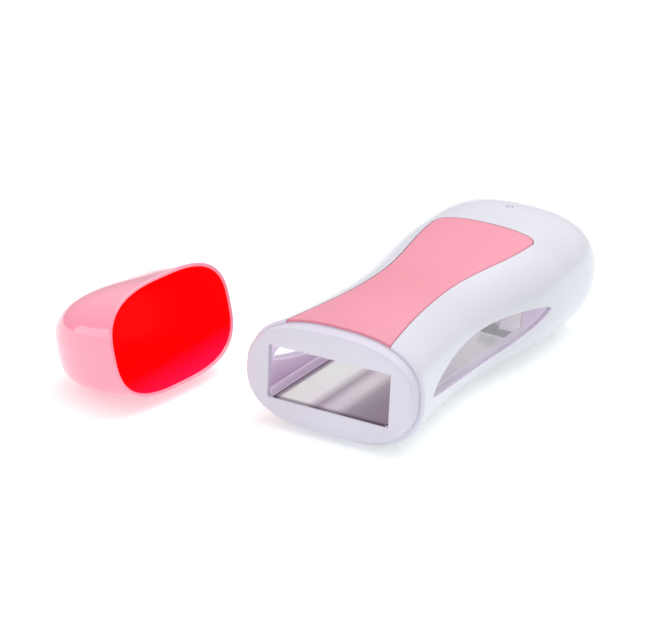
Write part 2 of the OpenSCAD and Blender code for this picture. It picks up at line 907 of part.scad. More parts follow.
// from an inlet pin to the joint on the same side
function inlet_run(side) = [
    [side * pin_pitch / 2, pin_back - 0.6, inlet_z - 0.1],
    [side * pin_pitch / 2, pin_back - lead_bend, inlet_z - lead_bend + 1],
    [side * (crimp_x - 2.5), crimp_y + lead_run, crimp_z + 3],
    [side * crimp_x, crimp_y + crimp_len / 2 + 0.4, crimp_z]];

// from the joint down to the side of the plate
function plate_run(side, last) = concat(
    [[side * crimp_x, crimp_y - crimp_len / 2 - 0.3, crimp_z],
        [side * crimp_x, crimp_y - 16, lead_z - 0.4]], last);

module live_lead() {
    thermo_end = thermo_y0 + thermo_len + thermo_tag + 0.9;
    color([0.75, 0.2, 0.15])
        placed() {
            // through the fuse and the thermostat to the lower contact strip
            lead(inlet_run(-1), lead_r);
            lead(plate_run(-1, [[-crimp_x, fuse_wire_y0 + fuse_wire_len + 0.1, lead_z]]), lead_r);
            lead([[-crimp_x, fuse_wire_y0 - 0.1, lead_z], [-crimp_x, heater_y0 - 1, lead_z],
                [-clamp_w / 2 + 0.5, heater_y0 - 8, lead_z],
                [-thermo_tag + 0.9, thermo_end, lead_z]], lead_r);
            lead([[thermo_tag - 0.9, thermo_end, lead_z], [tag_x + tag_w / 2, heater_y0 - 7, lead_z + 0.2],
                [tag_x + tag_w / 2, heater_y0 - 2.5, lead_z + 0.2]], lead_r);
        }
}

module neutral_lead() {
    tag_y = heater_y0 + heater_len + 3.5;
    color([0.2, 0.35, 0.7])
        placed() {
            lead(inlet_run(1), lead_r);
            lead(plate_run(1, [[crimp_x - 2.9, tag_y + 10.5, lead_z + 0.2],
                [tag_x + tag_w / 2, tag_y, lead_z + 0.7]]), lead_r);
        }
}

module lamp_leads() {
    color([0.9, 0.9, 0.88])
        placed()
            for (s = [-1, 1])
                lead([[s * 4, board_y0 + 8, board_z - 0.35], [s * 7, board_y0 + 4, board_z - 8],
                    [s * (crimp_x + 1.5), crimp_y + lead_run + 2, crimp_z + 8],
                    [s * (crimp_x + 1.9), crimp_y + crimp_len / 2 + 0.45, crimp_z + 0.4]], 0.6);
}

module crimp_caps() {
    color([0.9, 0.9, 0.86])
        placed()
            for (x = [-crimp_x, crimp_x])
                translate([x, crimp_y - crimp_len / 2, crimp_z])
                    rotate([-90, 0, 0])
                        cylinder(r = crimp_r, h = crimp_len);
}

module housing_screws() {
    color([0.62, 0.62, 0.64])
        placed() {
            for (x = [-front_screw_x, front_screw_x])
                translate([x, front_screw_y, front_pad_z - head_gap])
                    screw(head_gap + 4);
            for (x = [-rear_screw_x, rear_screw_x])
                translate([x, rear_screw_y, rear_pad_z - head_gap])
                    screw(head_gap + 10);
        }
}

module screw(len) {
    difference() {
        translate([0, 0, -head_h])
            cylinder(r = head_r, h = head_h);
        for (a = [0, 90])
            rotate([0, 0, a])
                translate([-1.5, -0.3, -head_h - 1])
                    cube([3, 0.6, 1.8]);
    }
    translate([0, 0, -0.5])
        cylinder(r = shank_r, h = len + 0.5);
}

// ---- cap, lying on its wide side ----
function cap_k(t) = closing(t, cap_dome_n);
function cap_stations(off) = [for (i = [0 : 13]) min(0.9985, 1 - pow(1 - i / 13, 2)) * (1 - off / cap_d)];

module cap_form(off) {
    s = cap_stations(off);
    for (i = [0 : len(s) - 2])
        between(cap_ring(s[i], off), cap_ring(s[i + 1], off));
}
// the inside follows the same curve, shortened by the wall
function cap_ring(t, off) =
    let (s = t / (1 - off / cap_d))
    section(max(0.5, (cap_a - cap_taper_w * t - off) * cap_k(s)),
        max(0.3, (cap_b - cap_taper_h * t - off) * cap_k(s)), 0, cap_d * t, cap_n);

cap_rest = 0.1;
// height that brings the lowest point of the leaning cap to the table
cap_low = min([for (s = cap_stations(0))
    -(cap_b - cap_taper_h * s) * cap_k(s) * cos(cap_lean) - cap_d * s * sin(cap_lean)]);
module cap() {
    color([0.99, 0.55, 0.66])
        translate([cap_x, cap_y, cap_rest - cap_low])
            rotate([0, 0, 90 + cap_turn])
                rotate([-cap_lean, 0, 0])
                    difference() {
                        cap_form(0);
                        union() {
                            cap_form(cap_t);
                            between([for (p = cap_ring(0, cap_t)) p - [0, 1, 0]], cap_ring(0, cap_t));
                        }
                    }
}

main_shell();
base_shell();
front_collar();
grip_panel();
window_right();
window_left();
bay_tray();
cartridge_spring();
heater_plate();
ptc_chips();
contact_strips();
insulating_film();
clamp_bar();
clamp_screws();
heat_shield();
thermostat();
thermal_fuse();
inlet_socket();
inlet_pins();
lamp_board();
lamp();
dropper_resistor();
rectifier_diode();
live_lead();
neutral_lead();
lamp_leads();
crimp_caps();
housing_screws();
cap();
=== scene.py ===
"""Looks of a roll-on wax heater: hand unit and pulled-off cap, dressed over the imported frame."""

import math

import bmesh
import bpy
from mathutils import Matrix, Vector


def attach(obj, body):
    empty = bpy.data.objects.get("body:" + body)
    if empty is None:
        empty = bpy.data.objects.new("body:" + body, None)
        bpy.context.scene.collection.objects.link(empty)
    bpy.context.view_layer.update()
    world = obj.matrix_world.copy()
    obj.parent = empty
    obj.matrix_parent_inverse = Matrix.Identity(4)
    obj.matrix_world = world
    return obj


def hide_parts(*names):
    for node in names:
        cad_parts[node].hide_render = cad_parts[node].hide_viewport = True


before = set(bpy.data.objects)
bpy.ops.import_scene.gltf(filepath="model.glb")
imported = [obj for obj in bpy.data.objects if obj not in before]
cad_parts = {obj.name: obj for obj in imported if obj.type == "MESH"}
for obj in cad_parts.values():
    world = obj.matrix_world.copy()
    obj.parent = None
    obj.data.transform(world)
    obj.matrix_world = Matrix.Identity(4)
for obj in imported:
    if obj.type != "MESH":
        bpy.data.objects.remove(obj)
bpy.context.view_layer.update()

MM = 0.001

# ---- sizes of the moulded forms, in millimetres; y counts from the front shoulder ----
BODY_LEN = 178.0
FRONT_W, WAIST_W, BELLY_W = 77.9, 65.1, 78.9
WAIST_Y, BELLY_Y = 62.0, 131.0
FRONT_H, REAR_H = 46.9, 53.9
RISE_Y, RISE_END = 33.0, 190.0
TAIL_Y, TAIL_Z = 131.6, 28.0
TAIL_PLAN_N, TAIL_SIDE_N, SECTION_N = 3.96, 3.12, 2.54
WALL = 2.2
SOLE_CUT = 0.5
PARTING_Z = 8.0
PARTING_GAP = 0.03
SHOULDER_R = 0.8

NECK_W, NECK_H, NECK_Z, NECK_LEN = 74.5, 43.1, 23.8, 6.0
NECK_EDGE_R = 1.4
NECK_BACK = 2.9
NECK_WALL = 1.8
SPIGOT_T, SPIGOT_END = 1.3, 9.5
FIT = 0.15
NECK_GAP = 0.06
MOUTH_W, MOUTH_H = 54.0, 22.3
MOUTH_CORNER_R = 0.5
MOUTH_EDGE_R = 0.35
MOUTH_FLARE = 0.6
MOUTH_DEPTH = 34.0
FACE_T = 2.2
LIP_T = 0.6
# how far cutters reach past the body and past a face, and the play round pegs and the lamp
PAST, RUN_OUT = 60.0, 1.0
HOLE_PLAY = 0.1

WIN_Y0, WIN_Y1 = 11.8, 116.4
WIN_Z0, WIN_Z1 = 21.6, 25.7
WIN_UP, WIN_DOWN = 8.4, 7.9
# where along the window each edge bulges most, and how full it is
WIN_UP_CURVE, WIN_DOWN_CURVE = (0.8, 0.62), (1.21, 0.67)
PANE_DEPTH = 0.4
PANE_GAP, PANE_FLANGE, PANE_EDGE_R = 0.12, 0.8, 0.3

PANEL_FRONT, PANEL_WAIST, PANEL_REAR = 23.1, 15.9, 23.6
PANEL_Y0, PANEL_LEN, PANEL_R = 0.4, 129.2, 4.0
PANEL_T = 1.2
PANEL_GAP = 0.3
PANEL_EDGE_R = 0.5
PANEL_POINTS = 120

LAMP_Y, LAMP_R = 151.8, 1.5
INLET_Z, INLET_W, INLET_H, INLET_R = 28.0, 20.2, 12.2, 3.0
INLET_FACE = BODY_LEN - 1.2
FRONT_SCREW = (17.0, 6.2)
REAR_SCREW = (22.0, 146.0)
FRONT_PAD, REAR_PAD = 5.4, 8.0
PAD_FRONT_R, PAD_REAR_R, POST_R = 4.2, 4.4, 3.0
HEAD_R, HEAD_GAP, SHANK_R, PILOT_R = 2.8, 2.0, 1.4, 1.18
BAY_TOP, BAY_END, BOSS_TOP = 34.95, 114.1, 10.15
RAIL_IN, MOUTH_Z0 = 25.2, 12.65
ROOF_RIB_X, ROOF_RIB_T = 15.0, 1.2
BOARD_TOP = 46.2
BOARD_POST_X, BOARD_POST_BACK, BOARD_POST_R = 9.0, 5.5, 2.0
INLET_RIB_T, INLET_RIB_DROP, INLET_RIB_RISE = 1.2, 4.0, 36.0
INLET_RIB_FRONT, INLET_RIB_BACK = 16.0, 1.2
PEG_X, PEG_Y, PEG_R, PEG_LEN, PEG_ROOT = 10.0, (24.0, 92.0), 1.5, 3.4, 0.4
PEG_HOLE_DEPTH = 9.0
PILOT_LEN, PILOT_ROOF = 12.0, 0.5
SHIELD_Z, SHIELD_RIBS, SHIELD_RIB_T = 4.2, (27.0, 97.0), 2.0
SHIELD_HALF = 14.1
PLATE_POST = (21.6, 16.0, 96.0)
PLATE_POST_R = 1.3
TONGUE_FRONT, TONGUE_DOWN, TONGUE_UP = 3.2, 2.0, 1.5
BOSS_R, BOSS_RIB_T, BOSS_RIB_Z = 2.9, 1.6, 3.4
PAD_HOLE_R = 4.4

CAP_A, CAP_B, CAP_D = 39.2, 23.2, 47.0
CAP_TAPER_W, CAP_TAPER_H = 0.5, 0.5
CAP_DOME_N, CAP_N, CAP_T = 2.8, 2.9, 1.5
CAP_PLACE = (-75.3, -84.7, 27.477)
CAP_TURN, CAP_LEAN = 85.0, 15.0

# ---- where the finishes and their painted light and shade change, in the same millimetres ----
RIM_GLOW, RIM_GLOW_TURN = (49.5, 61.0), 40.0
BAY_PAINTED_LIGHT = (45.0, 75.0)
PLATE_HALF = 25.0
PLATE_SHADE = (-3.2, -1.4)
SLIT_SIDE, SLIT_ABOVE = (0.22, 0.42), (-0.3, -0.1)
FENCE_OUTER = (1.2, 1.0)
RAIL_RISE, SIDE_RISE = (11.5, 13.0), (10.0, 30.0)
SHOULDER_SHADE, SHOULDER_PAINTED_LIGHT = (0.2, 2.4), (0.1, 0.8)
FACE_SHADE = (-4.4, -5.9)
SPRING_TIP = (107.6, 109.2)
REAR_WALL_Z = (17.5, 16.0)
REAR_SHADE = (124.0, 113.0)

MID_Y = (BODY_LEN - NECK_LEN) / 2
RING = 176


# ---- outline formulas ----
def clip(value, low, high):
    return max(low, min(high, value))


def ease(s):
    return (1 - math.cos(math.pi * clip(s, 0, 1))) / 2


def power(value, exponent):
    return math.copysign(abs(value) ** exponent, value)


def closing(u, n):
    return max(0.0, 1 - u**n) ** (1 / n)


def plan_width(y):
    if y < WAIST_Y:
        widening = 1 - math.sin(math.pi / 2 * clip(y / WAIST_Y, 0, 1))
        return WAIST_W + (FRONT_W - WAIST_W) * widening
    return WAIST_W + (BELLY_W - WAIST_W) * ease((y - WAIST_Y) / (BELLY_Y - WAIST_Y))


def top_height(y):
    return FRONT_H + (REAR_H - FRONT_H) * ease((y - RISE_Y) / (RISE_END - RISE_Y))


def front_round(y):
    if y >= SHOULDER_R:
        return 0.0
    return SHOULDER_R - math.sqrt(SHOULDER_R**2 - (SHOULDER_R - max(y, 0)) ** 2)


def body_section(y, off=0.0):
    """Half-width, half-height and centre height of the body at y, moved inwards by off."""
    u = clip((y - TAIL_Y) / (BODY_LEN - off - TAIL_Y), 0, 1)
    edge = front_round(y) if off == 0 else 0.0
    top = TAIL_Z + (top_height(y) - TAIL_Z) * closing(u, TAIL_SIDE_N)
    bottom = TAIL_Z - (SOLE_CUT + TAIL_Z) * closing(u, TAIL_SIDE_N)
    half_width = plan_width(y) / 2 * closing(u, TAIL_PLAN_N)
    return half_width - off - edge, (top - bottom) / 2 - off - edge, (top + bottom) / 2


def oval(a, b, c, n, turn):
    """Across and up on a squared oval at a share of its full turn."""
    angle = 2 * math.pi * turn
    return a * power(math.cos(angle), 2 / n), c + b * power(math.sin(angle), 2 / n)


def skin_top(x, y, off=0.0):
    """Height of the body's upper skin over a point of the plan."""
    a, b, c = body_section(y, off)
    return c + b * closing(min(abs(x) / a, 1), SECTION_N)


def skin_side(y, z, off=0.0):
    """How far the body's side skin lies from the middle at a height."""
    a, b, c = body_section(y, off)
    return a * closing(min(abs(z - c) / b, 1), SECTION_N)


def window_edge(s, side, inset=0.0):
    """y and z on the upper (1) or lower (-1) edge of a side window, moved inwards by inset."""
    chord = WIN_Z0 + (WIN_Z1 - WIN_Z0) * s
    height, (lean, fullness) = (WIN_UP, WIN_UP_CURVE) if side > 0 else (WIN_DOWN, WIN_DOWN_CURVE)
    bulge = height * max(0, math.sin(math.pi * s**lean)) ** fullness
    y = WIN_Y0 + inset + (WIN_Y1 - WIN_Y0 - 2 * inset) * s
    return y, chord + side * max(0, bulge - inset)


def panel_half(y, grow=0.0):
    """Half-width of the grip panel, with its rounded rear corners, grown all round."""
    if y < WAIST_Y:
        widening = 1 - math.sin(math.pi / 2 * clip(y / WAIST_Y, 0, 1))
        half = PANEL_WAIST + (PANEL_FRONT - PANEL_WAIST) * widening
    else:
        half = PANEL_WAIST + (PANEL_REAR - PANEL_WAIST) * ease((y - WAIST_Y) / (PANEL_LEN - WAIST_Y))
    into = y - (PANEL_LEN - PANEL_R)
    if into > 0:
        return PANEL_REAR - PANEL_R + math.sqrt(max(0, (PANEL_R + grow) ** 2 - into**2))
    return half + grow


def place(x, y, z):
    """A point in the frame, from shoulder millimetres."""
    return Vector((x, y - MID_Y, z)) * MM


# ---- mesh helpers ----
def piece_of(name, bm, body="hand_unit"):
    """Turns a finished bmesh into a piece that rides on a body."""
    mesh = bpy.data.meshes.new(name)
    bm.to_mesh(mesh)
    bm.free()
    made = bpy.data.objects.new(name, mesh)
    bpy.context.scene.collection.objects.link(made)
    if body:
        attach(made, body)
    return made


def smooth(made, angle=35):
    for face in made.data.polygons:
        face.use_smooth = True
    made.data.set_sharp_from_angle(angle=math.radians(angle))


def sheet(bm, columns, rows, at):
    """A grid whose vertices move to at(column, row)."""
    made = bmesh.ops.create_grid(bm, x_segments=columns, y_segments=rows, size=1)["verts"]
    for vert in made:
        column = round((vert.co.x + 1) / 2 * columns)
        row = round((vert.co.y + 1) / 2 * rows)
        vert.co = at(column, row)
    return made


def loft(rows, segments=RING, close_ends=True):
    """A closed skin through the rows; each row is a function of the share of a turn."""
    bm = bmesh.new()
    sheet(bm, segments, len(rows) - 1, lambda i, j: rows[j]((i % segments) / segments))
    bmesh.ops.remove_doubles(bm, verts=bm.verts, dist=1e-7)
    if close_ends:
        bmesh.ops.holes_fill(bm, edges=[e for e in bm.edges if e.is_boundary], sides=0)
    bmesh.ops.recalc_face_normals(bm, faces=bm.faces)
    return bm


def body_row(y, off=0.0):
    a, b, c = body_section(y, off)

    def at(turn):
        x, z = oval(a, b, c, SECTION_N, turn)
        return place(x, y, z)

    return at


def stations(off):
    """Places along the body, closer together at the shoulder and in the tail."""
    shoulder = [SHOULDER_R * (1 - math.cos(math.pi / 2 * i / 6)) for i in range(7)] if off == 0 else [-1.0]
    middle = [SHOULDER_R + (TAIL_Y - SHOULDER_R) * i / 56 for i in range(1, 57)]
    reach = BODY_LEN - off - TAIL_Y
    tail = [TAIL_Y + reach * min(0.9992, math.sin(math.pi / 2 * i / 30) ** (2 / 3.4)) for i in range(1, 31)]
    return shoulder + middle + sorted(set(tail))


def body_solid(name, off=0.0):
    return piece_of(name, loft([body_row(y, off) for y in stations(off)]), body=None)


def block(name, low, high):
    """A plain cutting block between two corners in shoulder millimetres."""
    bm = bmesh.new()
    bmesh.ops.create_cube(bm, size=1)
    low, high = place(*low), place(*high)
    middle, span = (low + high) / 2, high - low
    bmesh.ops.scale(bm, vec=span, verts=bm.verts)
    bmesh.ops.translate(bm, vec=middle, verts=bm.verts)
    return piece_of(name, bm, body=None)


def drum(name, x, y, z0, z1, radius, segments=48):
    """An upright round cutter or post in shoulder millimetres."""
    bm = bmesh.new()
    bmesh.ops.create_cone(
        bm, cap_ends=True, segments=segments, radius1=radius * MM, radius2=radius * MM, depth=(z1 - z0) * MM
    )
    bmesh.ops.translate(bm, vec=place(x, y, (z0 + z1) / 2), verts=bm.verts)
    return piece_of(name, bm, body=None)


def combine(made, other, operation="DIFFERENCE"):
    """Cuts or joins one mesh with another, which is then dropped."""
    change = made.modifiers.new("combine", "BOOLEAN")
    change.operation = operation
    change.object = other
    change.solver = "MANIFOLD"
    bpy.context.view_layer.update()
    result = made.evaluated_get(bpy.context.evaluated_depsgraph_get())
    mesh = bpy.data.meshes.new_from_object(result)
    made.modifiers.clear()
    old = made.data
    made.data = mesh
    bpy.data.meshes.remove(old)
    bpy.data.objects.remove(other)
    return made


def joined(first, *others):
    """One mesh out of several that overlap."""
    for other in others:
        combine(first, other, "UNION")
    return first


def neck_row(y, inset=0.0):
    def at(turn):
        x, z = oval(NECK_W / 2 - inset, NECK_H / 2 - inset, NECK_Z, SECTION_N, turn)
        return place(x, y, z)

    return at


def neck_cutter():
    return piece_of("neck_cutter", loft([neck_row(-2, -NECK_GAP), neck_row(3, -NECK_GAP)]), body=None)


def window_cutter():
    """A bar across the whole body with the windows' outline."""
    steps = 72
    segments = 2 * steps

    def row(x):
        def at(turn):
            i = round(turn * segments)
            s = (1 - math.cos(math.pi * min(i, segments - i) / steps)) / 2
            y, z = window_edge(s, -1 if i < steps else 1)
            return place(x, y, z)

        return at

    return piece_of("window_cutter", loft([row(-PAST), row(PAST)], segments), body=None)


def rounded_row(y, half_w, half_h, z, radius):
    """A rounded rectangle across the body at y, as a row of a loft."""

    def at(turn):
        quarter = min(3, int(turn * 4))
        angle = 2 * math.pi * turn
        side = 1 if quarter in (0, 3) else -1
        rise = 1 if quarter in (0, 1) else -1
        x = side * (half_w - radius) + radius * math.cos(angle)
        up = rise * (half_h - radius) + radius * math.sin(angle)
        return place(x, y, z + up)

    return at


def rounded_bar(name, y0, y1, half_w, half_h, z, radius, segments=48):
    rows = [rounded_row(y, half_w, half_h, z, radius) for y in (y0, y1)]
    return piece_of(name, loft(rows, segments), body=None)


def across(name, outline, x0, x1):
    """A bar across the body with a side-view outline of (y, z) points."""
    bm = bmesh.new()
    corners = [bm.verts.new(place(x0, y, z)) for y, z in outline]
    bm.faces.new(corners)
    grown = bmesh.ops.extrude_face_region(bm, geom=bm.faces[:])["geom"]
    moved = [item for item in grown if isinstance(item, bmesh.types.BMVert)]
    bmesh.ops.translate(bm, vec=Vector(((x1 - x0) * MM, 0, 0)), verts=moved)
    bmesh.ops.recalc_face_normals(bm, faces=bm.faces)
    return piece_of(name, bm, body=None)


def mouth_cutter():
    """The mouth's opening with a small fillet at the face."""

    def row(y, grow):
        return rounded_row(y, MOUTH_W / 2 + grow, MOUTH_H / 2 + grow, NECK_Z, MOUTH_CORNER_R + grow)

    rows = [row(-NECK_LEN - RUN_OUT, MOUTH_FLARE)]
    for i in range(6):
        depth = MOUTH_EDGE_R * i / 5
        grow = MOUTH_EDGE_R - math.sqrt(MOUTH_EDGE_R**2 - (MOUTH_EDGE_R - depth) ** 2)
        rows.append(row(-NECK_LEN + depth, grow))
    rows.append(row(MOUTH_DEPTH, 0))
    return piece_of("mouth_cutter", loft(rows, 64), body=None)


def panel_row(y, top, bottom, grow=0.0):
    """A band across the top of the body; top and bottom give its heights over (x, y)."""
    half = panel_half(y, grow)
    across = PANEL_POINTS // 2

    def at(turn):
        i = round(turn * PANEL_POINTS)
        share = (i % across) / (across - 1)
        x = -half * math.cos(math.pi * share)
        if i < across:
            return place(x, y, top(x, y))
        return place(-x, y, bottom(-x, y))

    return at


def panel_stations(y0, grow=0.0):
    ends = [y0 + step for step in (0.0, 0.04, 0.12, 0.25, 0.4, 0.6)]
    middle = [y0 + 1 + (PANEL_LEN - PANEL_R - y0 - 1) * i / 70 for i in range(71)]
    corner = [PANEL_LEN - PANEL_R + (PANEL_R + grow) * math.sin(math.pi / 2 * i / 16) for i in range(1, 17)]
    return ends + middle + corner


def edge_drop(distance):
    """How far the panel's rounded edge lies below its face."""
    if distance >= PANEL_EDGE_R:
        return 0.0
    return PANEL_EDGE_R - math.sqrt(PANEL_EDGE_R**2 - (PANEL_EDGE_R - max(0, distance)) ** 2)


def grip_panel():
    """Soft pink inlay with rounded edges and four pegs below."""

    def top(x, y):
        return skin_top(x, y) - edge_drop(min(panel_half(y) - abs(x), y - PANEL_Y0, PANEL_LEN - y))

    def bottom(x, y):
        return skin_top(x, y, PANEL_T - 0.05)

    rows = [panel_row(y, top, bottom) for y in panel_stations(PANEL_Y0)]
    made = piece_of("grip_inlay", loft(rows, PANEL_POINTS))
    for x in (-PEG_X, PEG_X):
        for y in PEG_Y:
            foot = top_height(y) - PANEL_T - PEG_LEN
            combine(made, drum("peg", x, y, foot, foot + PEG_LEN + PEG_ROOT, PEG_R, 24), "UNION")
    smooth(made)
    return made


def panel_cutter():
    """The recess in the housing that the inlay drops into."""

    def top(x, y):
        return skin_top(x, y) + 3

    def bottom(x, y):
        return skin_top(x, y, PANEL_T)

    rows = [panel_row(y, top, bottom, PANEL_GAP) for y in [-1.0] + panel_stations(0.0, PANEL_GAP)]
    return piece_of("panel_cutter", loft(rows, PANEL_POINTS), body=None)


def slab_between(name, z0, z1):
    return block(name, (-PAST, -NECK_LEN - 2, z0), (PAST, BODY_LEN + 10, z1))


def roof_rib(side):
    """Rib under the roof, over the cartridge bay."""
    x = side * ROOF_RIB_X
    return block("roof_rib", (x - ROOF_RIB_T / 2, 3, BAY_TOP + FIT), (x + ROOF_RIB_T / 2, BAY_END, PAST))


def inlet_rib(side):
    """Rib beside the mains inlet."""
    near, far = sorted((side * (INLET_W / 2), side * (INLET_W / 2 + INLET_RIB_T)))
    low = (near, INLET_FACE - INLET_RIB_FRONT, INLET_Z - INLET_RIB_DROP)
    return block("inlet_rib", low, (far, INLET_FACE - INLET_RIB_BACK, INLET_Z + INLET_RIB_RISE))


def housing():
    """White hourglass housing, open in front and below."""
    made = body_solid("housing")
    combine(made, body_solid("hollow", WALL))
    posts = joined(roof_rib(-1), roof_rib(1))
    for side in (-1, 1):
        board_x, board_y = side * BOARD_POST_X, LAMP_Y - BOARD_POST_BACK
        joined(
            posts,
            drum("screw_post", side * REAR_SCREW[0], REAR_SCREW[1], REAR_PAD, PAST, POST_R),
            drum("board_post", board_x, board_y, BOARD_TOP, PAST, BOARD_POST_R),
            inlet_rib(side),
        )
    combine(posts, body_solid("skin", WALL / 2), "INTERSECT")
    combine(made, posts, "UNION")
    combine(made, slab_between("below", -5, PARTING_Z))
    combine(made, neck_cutter())
    combine(made, window_cutter())
    combine(made, panel_cutter())
    for x in (-PEG_X, PEG_X):
        for y in PEG_Y:
            top = top_height(y)
            hole = drum("peg_hole", x, y, top - PEG_HOLE_DEPTH, top + RUN_OUT, PEG_R + HOLE_PLAY, 24)
            combine(made, hole)
    combine(made, drum("lamp_hole", 0, LAMP_Y, 40, PAST, LAMP_R + HOLE_PLAY))
    for side in (-1, 1):
        x, y = side * REAR_SCREW[0], REAR_SCREW[1]
        combine(made, drum("pilot", x, y, REAR_PAD - RUN_OUT, REAR_PAD + PILOT_LEN, PILOT_R, 24))
    y0, y1 = INLET_FACE - 3, INLET_FACE + 7
    half_w, half_h = INLET_W / 2 + FIT, INLET_H / 2 + FIT
    combine(made, rounded_bar("inlet_cutter", y0, y1, half_w, half_h, INLET_Z, INLET_R))
    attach(made, "hand_unit")
    smooth(made)
    return made


def base_pan():
    """Bottom pan with its tongue, screw pads, ribs and posts."""
    made = body_solid("base_pan")
    combine(made, body_solid("hollow", WALL))
    combine(made, neck_cutter())
    combine(made, slab_between("pan_height", 0, PARTING_Z - PARTING_GAP), "INTERSECT")
    tongue = body_solid("tongue", WALL * 0.55 + 0.1)
    combine(tongue, body_solid("hollow", WALL))
    low = (-PAST, TONGUE_FRONT, PARTING_Z - TONGUE_DOWN)
    high = (PAST, BODY_LEN + 22, PARTING_Z + TONGUE_UP)
    combine(tongue, block("tongue_height", low, high), "INTERSECT")
    combine(made, tongue, "UNION")
    x, y = FRONT_SCREW
    posts = joined(*(drum("pad", side * x, y, 0, FRONT_PAD, PAD_FRONT_R) for side in (-1, 1)))
    for side in (-1, 1):
        rear_pad = drum("pad", side * REAR_SCREW[0], REAR_SCREW[1], 0, REAR_PAD - PARTING_GAP, PAD_REAR_R)
        combine(posts, rear_pad, "UNION")
        for y in PLATE_POST[1:]:
            post = drum("plate_post", side * PLATE_POST[0], y, 0, BOSS_TOP + 0.2, PLATE_POST_R, 24)
            combine(posts, post, "UNION")
    for y in SHIELD_RIBS:
        rib = block("shield_rib", (-SHIELD_HALF, y, 0), (SHIELD_HALF, y + SHIELD_RIB_T, SHIELD_Z))
        combine(posts, rib, "UNION")
    combine(posts, body_solid("skin", WALL / 2), "INTERSECT")
    combine(made, posts, "UNION")
    for side in (-1, 1):
        for screw, pad in ((FRONT_SCREW, FRONT_PAD), (REAR_SCREW, REAR_PAD)):
            x, y = side * screw[0], screw[1]
            combine(made, drum("head_hole", x, y, -RUN_OUT, pad - HEAD_GAP, HEAD_R, 48))
            combine(made, drum("shank_hole", x, y, -RUN_OUT, pad + RUN_OUT, SHANK_R, 32))
    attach(made, "hand_unit")
    smooth(made)
    return made


def collar():
    """Front moulding: stepped neck, face with the mouth, and the spigot behind the shoulder."""
    rows = []
    for i in range(9):
        angle = math.pi / 2 * i / 8
        inset = NECK_EDGE_R * (1 - math.sin(angle))
        rows.append(neck_row(-NECK_LEN + NECK_EDGE_R * (1 - math.cos(angle)), inset))
    rows.append(neck_row(NECK_BACK))
    made = piece_of("collar", loft(rows), body=None)
    inside_rows = [neck_row(-NECK_LEN + FACE_T, NECK_WALL), neck_row(5, NECK_WALL)]
    combine(made, piece_of("neck_hollow", loft(inside_rows), body=None))
    deep = WALL + FIT
    spigot = piece_of("spigot", loft([body_row(y, deep) for y in (0.5, 3.5, 6.5, SPIGOT_END)]), body=None)
    inside_rows = [body_row(y, deep + SPIGOT_T) for y in (-1, 3.5, 6.5, SPIGOT_END + 1.5)]
    combine(spigot, piece_of("spigot_hollow", loft(inside_rows), body=None))
    combine(made, spigot, "UNION")
    for side in (-1, 1):
        x, y = side * FRONT_SCREW[0], FRONT_SCREW[1]
        low = (x - BOSS_RIB_T / 2, -1, BOSS_RIB_Z)
        joined(
            made,
            drum("boss", x, y, FRONT_PAD, BOSS_TOP, BOSS_R, 32),
            block("boss_rib", low, (x + BOSS_RIB_T / 2, y - 1, BOSS_TOP - 0.1)),
        )
    combine(made, mouth_cutter())
    face_back = -NECK_LEN + FACE_T + 0.01
    lip = [(-NECK_LEN + LIP_T, MOUTH_Z0 + 0.01), (face_back, MOUTH_Z0 + 0.01), (face_back, MOUTH_Z0 - 2)]
    combine(made, across("lip_relief", lip, -RAIL_IN, RAIL_IN))
    for side in (-1, 1):
        x, y = side * FRONT_SCREW[0], FRONT_SCREW[1]
        combine(made, drum("pad_hole", x, y, -RUN_OUT, FRONT_PAD, PAD_HOLE_R, 48))
        combine(made, drum("pilot", x, y, 0, BOSS_TOP - PILOT_ROOF, PILOT_R, 24))
    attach(made, "hand_unit")
    smooth(made)
    return made


# ---- side windows ----
def pane_ring():
    """Inset, depth and share across for each point of a pane's cross-section."""
    front, flange = PANE_GAP, -PANE_FLANGE
    across_points = 24
    ring = []
    for i in range(across_points + 1):
        share = (1 - math.cos(math.pi * i / across_points)) / 2
        ring.append((front, "face", share))
    ring.append((front, WALL + 0.03, 1.0))
    ring.append((flange, WALL + 0.03, 1.0))
    for i in range(across_points + 1):
        share = (1 + math.cos(math.pi * i / across_points)) / 2
        ring.append((flange, WALL + 0.8, share))
    ring.append((flange, WALL + 0.03, 0.0))
    ring.append((front, WALL + 0.03, 0.0))
    return ring


def pane(name, side):
    """A clear pane that follows the housing's side, with a flange behind the wall."""
    ring = pane_ring()
    steps = 90

    def row(s):
        def at(turn):
            inset, depth, share = ring[round(turn * len(ring)) % len(ring)]
            low, high = window_edge(s, -1, inset), window_edge(s, 1, inset)
            y, z = low[0], low[1] + (high[1] - low[1]) * share
            if depth == "face":
                rim = min(high[1] - z, z - low[1], (y - WIN_Y0) * 0.8, (WIN_Y1 - y) * 0.8)
                depth = PANE_DEPTH + pane_rounding(rim)
            return place(side * skin_side(y, z, depth), y, z)

        return at

    rows = [row((1 - math.cos(math.pi * i / steps)) / 2) for i in range(steps + 1)]
    made = piece_of(name, loft(rows, len(ring)))
    smooth(made)
    return made


def pane_rounding(distance):
    if distance >= PANE_EDGE_R:
        return 0.0
    return PANE_EDGE_R - math.sqrt(PANE_EDGE_R**2 - (PANE_EDGE_R - max(0, distance)) ** 2)


# ---- cap ----
def cap_matrix():
    turn = Matrix.Rotation(math.radians(CAP_TURN), 4, "Z")
    lean = Matrix.Rotation(math.radians(-CAP_LEAN), 4, "X")
    return Matrix.Translation(Vector(CAP_PLACE) * MM) @ turn @ lean


